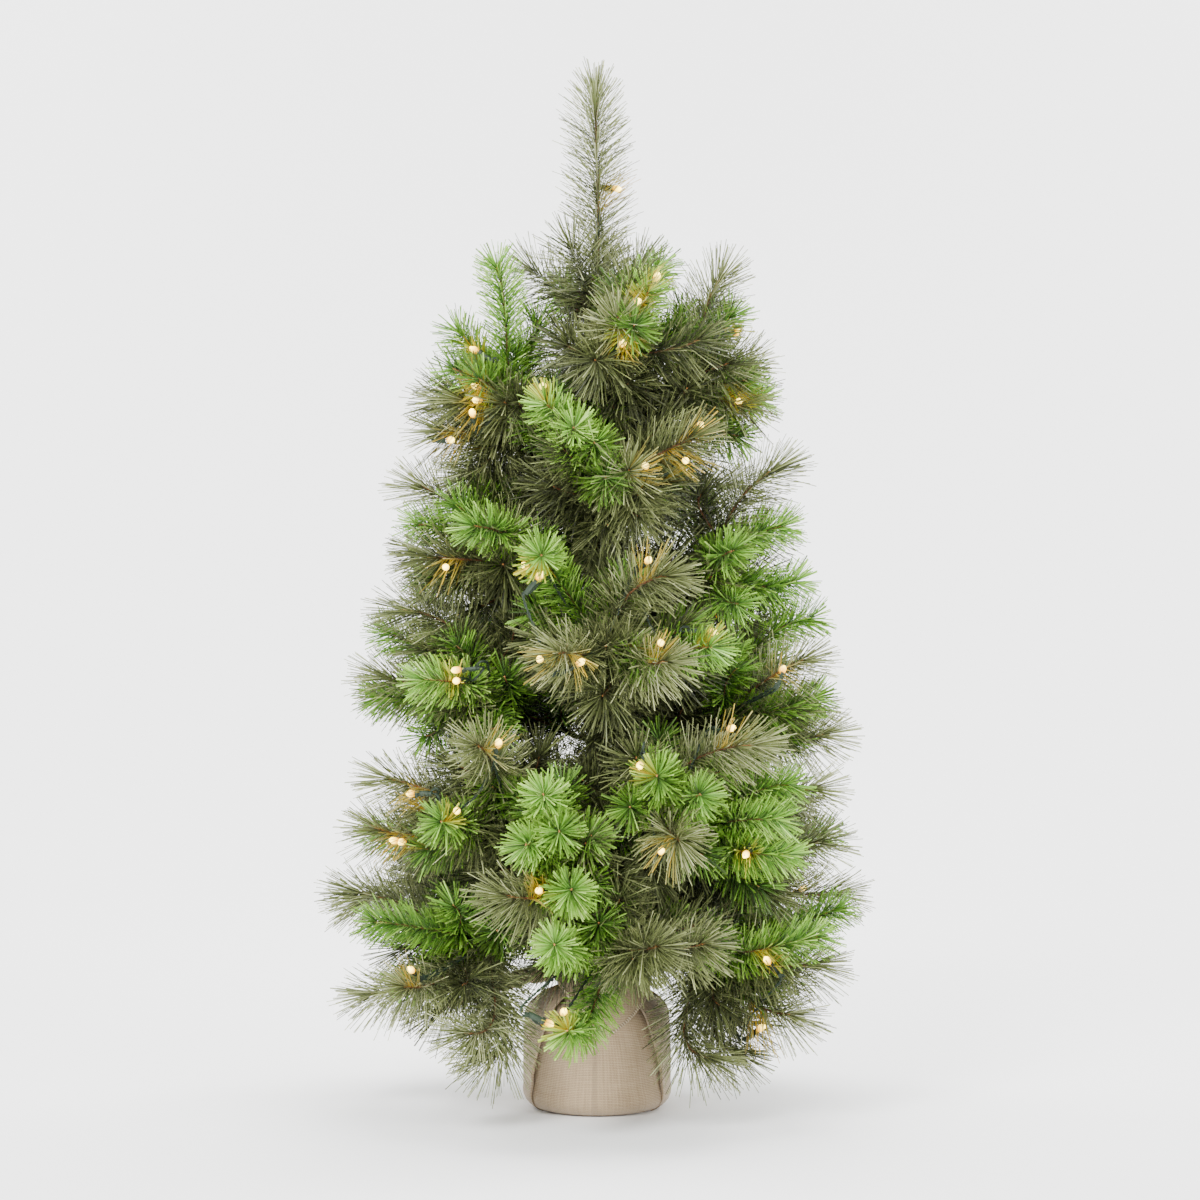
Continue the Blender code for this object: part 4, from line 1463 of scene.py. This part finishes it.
@dataclass
class BurlapSack:
    """One square of jute gathered round the pot: folded sides, a tied neck, corners hanging out.

    A corner is its turn, its length past the neck and half its width in degrees.
    """

    radius: float
    height: float
    neck: float
    corner: float = 0.017
    side_top: float = 0.078
    neck_length: float = 0.012
    thickness: float = 0.0008
    layer: float = 0.0012
    cloth: float = 0.43
    girth: float = 0.46
    bulge: float = 0.0008
    slack: float = 0.0009
    collar_length: float = 0.026
    front_lip: float = 3.9
    back_lip: float = 0.4
    front_puff: float = 3.9
    back_puff: float = 0.5
    back_folds: tuple[float, ...] = (100.0, 120.0, 142.0, 165.0)
    gathers: int = 30
    ruffles: int = 23
    corners: tuple[tuple[float, float, float], ...] = ((-96, 0.122, 26), (101, 0.127, 26),
                                                       (12, 0.074, 62), (188, 0.070, 50))
    hanging: tuple[tuple[float, float], ...] = (
        (0.027, 0.1215), (0.040, 0.1175), (0.0525, 0.108), (0.0605, 0.097), (0.0660, 0.083),
        (0.0682, 0.066), (0.0682, 0.050))
    standing: tuple[tuple[float, float], ...] = (
        (0.027, 0.1230), (0.036, 0.1250), (0.052, 0.1255), (0.080, 0.1235), (0.110, 0.1180),
        (0.150, 0.1080), (0.170, 0.1000))

    def profile(self) -> list[tuple[float, float, float, float, float]]:
        """The sack's rings: radius, height, normal outwards and upwards, and how far up it is."""
        flat = self.radius - self.corner
        rings = [(reach, 0.0, 0.0, -1.0, 0.0) for reach in (0.012, 0.030, flat)]
        for angle in range(15, 91, 15):
            lean = math.radians(angle)
            rings.append((self.radius - self.corner * (1 - math.sin(lean)),
                          self.corner * (1 - math.cos(lean)), math.sin(lean), -math.cos(lean), 0.0))
        for share in np.linspace(0.12, 1, 12):
            bulge = self.bulge * math.sin(math.pi * share)
            rings.append((self.radius - self.slack + bulge,
                          self.corner + (self.side_top - self.corner) * share, 1.0, 0.0, share))
        top = self.height - self.neck_length
        for share in np.linspace(0.08, 1, 14):
            lean = share * math.pi / 2
            reach = self.neck + (self.radius - self.slack - self.neck) * math.cos(lean)**1.15
            rings.append((reach, self.side_top + (top - self.side_top) * math.sin(lean),
                          math.cos(lean), math.sin(lean), 1.0 + share))
        for share in (0.35, 0.7, 1.0):
            rings.append((self.neck, top + self.neck_length * share, 1.0, 0.0, 2.0))
        return rings

    def front_fold(self, height: float) -> float:
        """The front folds' turn at a height: wide apart at the foot, closer at the shoulder."""
        return float(np.interp(height, (0, 0.012, 0.045, 0.080, 0.104, 0.118),
                               (64, 60, 52, 40, 34, 30)))

    def ring_pattern(self, height: float, reach: float, up: float) -> tuple[Point, Point, Point]:
        """One ring's turns, its layers and its even share round the cloth.

        Args:
            height: The ring's height.
            reach: The ring's radius.
            up: 0 at the foot, 1 at the top of the side, 2 at the neck.

        Returns:
            Turns in degrees, depths in layers and shares of the way round as degrees, from the
            front to the rear.
        """
        folds = (self.front_fold(height), *self.back_folds)
        ends = (*folds[1:], 180.0)
        grown = min(1.0, max(0.04, (height - 0.004) / 0.030))
        turns = list(np.linspace(0, folds[0], 16))
        depths = list(grown * (0.5 + 1.7 * np.linspace(0, 1, 16)**2.6))
        for index, (fold, end) in enumerate(zip(folds, ends)):
            wanted = math.degrees((0.006 + 0.024 * min(up, 1.0)) * grown / reach)
            under = min(wanted, 0.8 * (end - fold))
            turns += [fold + under * part for part in (0.4, 0.9, 1.0, 0.9, 0.4, 0.02, 0.0)]
            in_front = index == 0
            lip = self.front_lip if in_front else self.back_lip
            under_fold = (2.2, 2.0, 1.6, 1.2) if in_front else (2.3, 2.0, 1.5, 1.0)
            depths += [part * grown for part in (*under_fold, 1.0, 0.7 - lip / 2, 0.1 - lip)]
            panel = np.linspace(0.04, 1, 13)
            turns += list(fold + (end - fold) * panel)
            close = 2.0 if index < len(folds) - 1 else 0.0
            sinking = close * grown * np.clip((panel - 0.3) / 0.7, 0, 1)**2
            puff = self.front_puff if in_front else self.back_puff
            depths += list(sinking - puff * grown * np.exp(-3.4 * panel))
        return np.array(turns), np.array(depths), np.linspace(0, 180, len(turns))

    def collar(self, turn: float) -> tuple[float, float, float]:
        """The collar at a turn.

        Args:
            turn: The turn in degrees.

        Returns:
            Its length past the neck, how much it hangs down and how straight it runs out.
        """
        best = (self.collar_length, 0.35, 0.0)
        for middle, length, width in self.corners:
            away = abs((turn - middle + 180) % 360 - 180) / width
            if away < 1:
                reach = self.collar_length + (length - self.collar_length) * (1 - away)**1.15
                hang = (1 - away) if abs(middle) < 90 or abs(middle) > 150 else 0.0
                if reach > best[0]:
                    best = (reach, min(1.0, 0.35 + 1.4 * hang), 1.0 if not hang else 0.0)
        return best

    def drape(self, along: float, hang: float, out: float,
              turn: float) -> tuple[float, float, float, float]:
        """A place on the collar, between the line where it hangs and the one where it stands out.

        Args:
            along: How far along the cloth it lies from the neck.
            hang: How much the collar hangs there.
            out: How straight it runs out.
            turn: Its turn in degrees.

        Returns:
            Its radius, its height, its share of the hanging line and how loose the cloth is.
        """
        tied = (self.neck, self.height)
        hanging, standing = (np.array((tied, *line)) for line in (self.hanging, self.standing))
        if turn < 0:
            standing[:, 1] -= np.linspace(0, 1, len(standing))**1.6 * 0.040
        made = []
        for line in (hanging, standing):
            steps = np.linalg.norm(np.diff(line, axis=0), axis=1)
            lengths = np.concatenate(([0], np.cumsum(steps)))
            made.append([np.interp(along, lengths, line[:, axis]) for axis in (0, 1)])
        share = hang * (1 - out)
        reach = made[0][0] * share + made[1][0] * (1 - share)
        height = made[0][1] * share + made[1][1] * (1 - share)
        return reach, height, share, 1 - 0.6 * share

    def grid(self) -> tuple[Point, Point]:
        """The cloth's points and its weave coordinates in metres, ring by ring."""
        rows, threads = [], []
        travelled, last = 0.0, None
        for reach, height, across, upward, up in self.profile():
            turns, depths, shares = self.mirrored(*self.ring_pattern(height, reach, up))
            radians = np.radians(turns)
            gather = max(0.0, up - 1.15) / 0.85
            wave = 0.0021 * gather**1.3 * np.sin(self.gathers * radians + 1.2 * np.sin(3 * radians))
            sunk = -depths * self.layer + wave
            out = reach + sunk * across
            rise = np.maximum(height + sunk * upward, self.thickness)
            rows.append(np.stack((np.sin(radians) * out, -np.cos(radians) * out,
                                  np.broadcast_to(rise, radians.shape)), axis=1))
            travelled += math.dist((reach, height), last) if last else 0.0
            last = (reach, height)
            threads.append(np.stack((shares / 360 * self.girth,
                                     np.full(len(turns), travelled)), axis=1))
        self.add_collar(rows, threads, turns, depths, shares, travelled)
        return np.array(rows), np.array(threads)

    @staticmethod
    def mirrored(turns: Point, depths: Point, shares: Point) -> tuple[Point, Point, Point]:
        """Half a ring carried on round the other side, without repeating its ends.

        Args:
            turns: The half's turns in degrees.
            depths: Its depths in layers.
            shares: Its shares of the way round, as degrees.

        Returns:
            The same three for the whole ring.
        """
        return (np.concatenate((turns, -turns[-2:0:-1])), np.concatenate((depths, depths[-2:0:-1])),
                np.concatenate((shares, 360 - shares[-2:0:-1])))

    def add_collar(self, rows: list[Point], threads: list[Point], turns: Point, depths: Point,
                   shares: Point, travelled: float) -> None:
        """Adds the rings past the neck, where the gathers open out into ruffles.

        Args:
            rows: The rings so far.
            threads: Their weave coordinates.
            turns: The neck ring's turns in degrees.
            depths: Its depths in layers.
            shares: Its shares of the way round, as degrees.
            travelled: How far along the cloth the neck lies from the middle of the foot.
        """
        signed = np.where(shares > 180, shares - 360, shares)
        for share in np.linspace(0.07, 1, 15):
            opened = turns * (1 - share) + signed * share
            row, thread = [], []
            for index, turn in enumerate(opened):
                length, hang, out = self.collar(turn)
                along = length * share
                reach, height, down, loose = self.drape(along, hang, out, turn)
                phase = self.ruffles * 2 * math.pi * shares[index] / 360
                ruffle = math.sin(phase + 1.5 * math.sin(phase / 5)) * min(1.0, share * 2.5)
                size = 0.0058 * loose * (0.65 + 0.35 * math.sin(phase / 3.1 + 1))
                sunk = -depths[index] * self.layer * (1 - share)
                reach += sunk * (1 - share) + ruffle * size * (0.30 - 0.1 * out)
                height += ruffle * size * (1.0 - 0.55 * down) - sunk * 0.3
                row.append(facing(turn) * reach + at_height(height))
                thread.append((shares[index] / 360 * self.girth, travelled + along))
            rows.append(np.array(row))
            threads.append(np.array(thread))

    def build(self) -> None:
        """Makes the cloth and its rolled hem."""
        rows, threads = self.grid()
        rings, spots = rows.shape[:2]
        here = np.arange(spots)
        after = (here + 1) % spots
        quad = np.stack((here, after, after + spots, here + spots), axis=1)
        faces = np.concatenate([quad + spots * ring for ring in range(rings - 1)])
        foot = here[::-1][None]
        sack = mesh_piece("sack_cloth", rows.reshape(-1, 3), [faces, foot], smooth=True)
        self.lay_weave(sack, threads.reshape(-1, 2))
        deselect_all()
        bpy.context.view_layer.objects.active = sack
        sack.select_set(True)
        wall = sack.modifiers.new("Cloth", "SOLIDIFY")
        wall.thickness = self.thickness
        wall.offset = -1
        bpy.ops.object.modifier_apply(modifier=wall.name)
        bpy.ops.object.shade_smooth_by_angle(angle=math.radians(50))
        dress_piece(sack, BurlapFinish("burlap_weave").make(), "root")
        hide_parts("burlap_sack")
        hem = Tubes(sides=6)
        edge = np.vstack((rows[-1], rows[-1][:1]))
        twisted(edge, hem, pitch=0.0045, offset=0.0009, strand=0.0010)
        straw = BandedFinish("hem_cord", dark=(0.24, 0.175, 0.105), pale=(0.54, 0.44, 0.30),
                             scale=160.0, roughness=0.95).make()
        rope = hem.piece("sack_hem")
        dress_piece(rope, straw, "root")

    @staticmethod
    def lay_weave(sack: bpy.types.Object, threads: Point) -> None:
        """Gives the cloth its weave coordinates.

        Args:
            sack: The cloth, before it is thickened.
            threads: Metres along and across the threads, a row for each vertex.
        """
        layer = sack.data.uv_layers.new(name="weave")
        corners = np.empty(len(sack.data.loops), dtype=np.int32)
        sack.data.loops.foreach_get("vertex_index", corners)
        layer.data.foreach_set("uv", threads[corners].astype(np.float32).ravel())


@dataclass
class NeckTwine:
    """Three turns of three-strand jute twine round the sack's neck."""

    radius: float
    low: float
    high: float
    wraps: int = 3
    strands: int = 3
    offset: float = 0.0008
    strand: float = 0.00085

    def build(self) -> None:
        """Makes the twine from its twisted strands."""
        tubes = Tubes(sides=6)
        turns = np.linspace(0, self.wraps * 360, self.wraps * 150)
        half = 2 * self.offset
        rise = np.linspace(self.low + half, self.high - half, len(turns))
        path = np.array([facing(turn) * self.radius + at_height(height)
                         for turn, height in zip(turns, rise)])
        spin = np.linspace(0, self.wraps * 20 * FULL_TURN, len(turns))
        for centre in coiled(path, spin, self.offset, self.strands):
            tubes.add(centre, self.strand)
        finish = BandedFinish("jute_twine", dark=(0.28, 0.19, 0.11), pale=(0.58, 0.45, 0.30),
                              scale=420.0, roughness=0.95).make()
        piece = tubes.piece("twisted_twine")
        dress_piece(piece, finish, "root")
        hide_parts("neck_twine")


@dataclass
class BatteryPack:
    """The finishes of the battery box and what is in it, and the grip on its lid."""

    grips: int = 6
    grip_pitch: float = 0.0026
    grip_size: Place = (0.016, 0.0010, 0.0011)

    def build(self) -> None:
        """Dresses the box's nodes and adds the lid's grip."""
        plastic = MouldedFinish("box_plastic", (0.014, 0.060, 0.028), 0.45, grain=2600.0).make()
        paint(("battery_box", "battery_lid"), plastic)
        paint(("power_switch",), MouldedFinish("switch_plastic", (0.02, 0.02, 0.02), 0.4).make())
        steel = MouldedFinish("contact_steel", (0.62, 0.60, 0.56), 0.3, metallic=1.0).make()
        paint(("contact_plate_low", "contact_plate_high"), steel)
        for index in (1, 2, 3):
            low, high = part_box(f"battery_cell_{index}")
            band = 0.1 if index % 2 else 0.9
            finish = CellFinish(f"cell_sleeve_{index}", (low.z + high.z) / 2, band)
            paint((f"battery_cell_{index}",), finish.make())
        self.add_grips(plastic)

    def add_grips(self, plastic: bpy.types.Material) -> None:
        """Adds a row of ridges to the lid, for the thumb that slides it."""
        low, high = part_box("battery_lid")
        deselect_all()
        bpy.ops.mesh.primitive_cube_add(size=1, location=(0, high.y + 0.0003, high.z - 0.008))
        ridge = bpy.context.object
        ridge.dimensions = self.grip_size
        bpy.ops.object.transform_apply(location=True, rotation=True, scale=True)
        soften = ridge.modifiers.new("Edge", "BEVEL")
        soften.width = 0.00035
        soften.segments = 2
        bpy.ops.object.modifier_apply(modifier=soften.name)
        row = ridge.modifiers.new("Row", "ARRAY")
        row.count = self.grips
        row.use_relative_offset = False
        row.use_constant_offset = True
        row.constant_offset_displace = (0, 0, -self.grip_pitch)
        bpy.ops.object.modifier_apply(modifier=row.name)
        ridge.name = "lid_grips"
        bpy.ops.object.shade_smooth_by_angle(angle=math.radians(40))
        dress_piece(ridge, plastic, "battery_lid")


@dataclass
class Studio:
    """A pale floor that sweeps up behind, soft lights and the camera."""

    width: float = 14.0
    rear: float = 3.2
    front: float = -6.0
    sweep: float = 1.6
    wall: float = 6.0
    daylight: float = 0.95
    eye: Place = (0.0026, -2.5, 0.4417)
    lens: float = 85.9

    def build(self) -> None:
        """Makes the floor, the lights and the camera."""
        self.lay_floor()
        world = bpy.data.worlds.new("studio_world")
        bpy.context.scene.world = world
        world.use_nodes = True
        sky = world.node_tree.nodes["Background"].inputs
        sky["Color"].default_value = (1, 1, 1, 1)
        sky["Strength"].default_value = self.daylight
        lights = (("key_light", (-1.1, -2.3, 2.0), 1.0, 150),
                  ("fill_light", (1.8, -1.9, 1.2), 1.4, 60),
                  ("top_light", (0.2, 0.3, 2.6), 1.5, 110))
        tree = Vector((0, 0, 0.42))
        for name, where, size, power in lights:
            self.hang(name, where, tree, size, power)
        for name, side in (("left", -1), ("right", 1)):
            self.hang(f"backdrop_light_{name}", (side * 2.2, 1.4, 2.6),
                      Vector((side * 0.8, self.rear, 0.9)), 1.5, 130)
        self.set_camera()

    def lay_floor(self) -> None:
        """Extrudes the floor's rear edge upwards and rounds the corner."""
        deselect_all()
        middle = (self.rear + self.front) / 2
        bpy.ops.mesh.primitive_plane_add(size=1, location=(0, middle, 0))
        floor = bpy.context.object
        floor.name = "studio_floor"
        floor.dimensions = (self.width, self.rear - self.front, 0)
        bpy.ops.object.transform_apply(location=True, rotation=True, scale=True)
        bpy.ops.object.mode_set(mode="EDIT")
        bm = bmesh.from_edit_mesh(floor.data)
        for edge in bm.edges:
            edge.select = all(vert.co.y > self.rear - 0.01 for vert in edge.verts)
        bm.select_flush_mode()
        bmesh.update_edit_mesh(floor.data)
        bpy.ops.mesh.extrude_region_move(TRANSFORM_OT_translate={"value": (0, 0, self.wall)})
        bpy.ops.object.mode_set(mode="OBJECT")
        bend = floor.modifiers.new("Sweep", "BEVEL")
        bend.width = self.sweep
        bend.segments = 24
        bpy.ops.object.modifier_apply(modifier=bend.name)
        bpy.ops.object.shade_smooth()
        paper = MouldedFinish("studio_paper", (0.92, 0.92, 0.92), 0.9, cloud=0.0, depth=0.0)
        floor.data.materials.append(paper.make())

    @staticmethod
    def hang(name: str, where: Place, target: Vector, size: float, power: float) -> None:
        """Hangs one soft light.

        Args:
            name: The light's name.
            where: Where it hangs.
            target: The point that it faces.
            size: Its width.
            power: Its power in watts.
        """
        lamp = bpy.data.lights.new(name, "AREA")
        lamp.size = size
        lamp.energy = power
        thing = bpy.data.objects.new(name, lamp)
        thing.location = where
        thing.rotation_euler = (target - Vector(where)).to_track_quat("-Z", "Y").to_euler()
        bpy.context.scene.collection.objects.link(thing)

    def set_camera(self) -> None:
        """Sets the camera level with the middle of the tree, straight in front."""
        lens = bpy.data.cameras.new("camera")
        lens.sensor_width = 36
        lens.lens = self.lens
        camera = bpy.data.objects.new("camera", lens)
        camera.location = self.eye
        camera.rotation_euler = (math.pi / 2, 0, 0)
        bpy.context.scene.collection.objects.link(camera)
        bpy.context.scene.camera = camera


def paint_fixed_nodes() -> None:
    """Gives the pot, its weight, the pole, the tape and the lead their finishes."""
    finishes = {
        "base_pot": MouldedFinish("pot_plastic", (0.02, 0.02, 0.02), 0.5),
        "concrete_weight": MouldedFinish("concrete", (0.36, 0.35, 0.33), 0.9, cloud=0.35,
                                         grain=700.0, depth=0.0006),
        "trunk_pole": BandedFinish("pole_wood", dark=(0.22, 0.12, 0.06), pale=(0.40, 0.25, 0.14),
                                   scale=90.0, stretch=(1, 1, 0.05)),
        "trunk_tape": BandedFinish("brown_tape", dark=(0.030, 0.010, 0.007),
                                   pale=(0.085, 0.030, 0.020), scale=22.0,
                                   stretch=(0.4, 0.4, 1), depth=0.0008),
        "light_lead": BandedFinish("lead_wire", dark=(0.008, 0.030, 0.022),
                                   pale=(0.016, 0.060, 0.045), scale=60.0, roughness=0.4,
                                   distortion=0.0),
    }
    for name, finish in finishes.items():
        paint((name,), finish.make())


def main() -> None:
    """Builds every piece in order."""
    logging.basicConfig(level=logging.INFO, format="%(message)s")
    Studio().build()
    paint_fixed_nodes()
    BatteryPack().build()
    twine_low, twine_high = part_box("neck_twine")
    neck = round(twine_high.z + 0.0006, 5)
    BurlapSack(radius=0.065, height=neck, neck=0.021).build()
    NeckTwine(radius=0.023, low=twine_low.z, high=twine_high.z).build()
    Crown(neck).build()


if __name__ == "__main__":
    main()
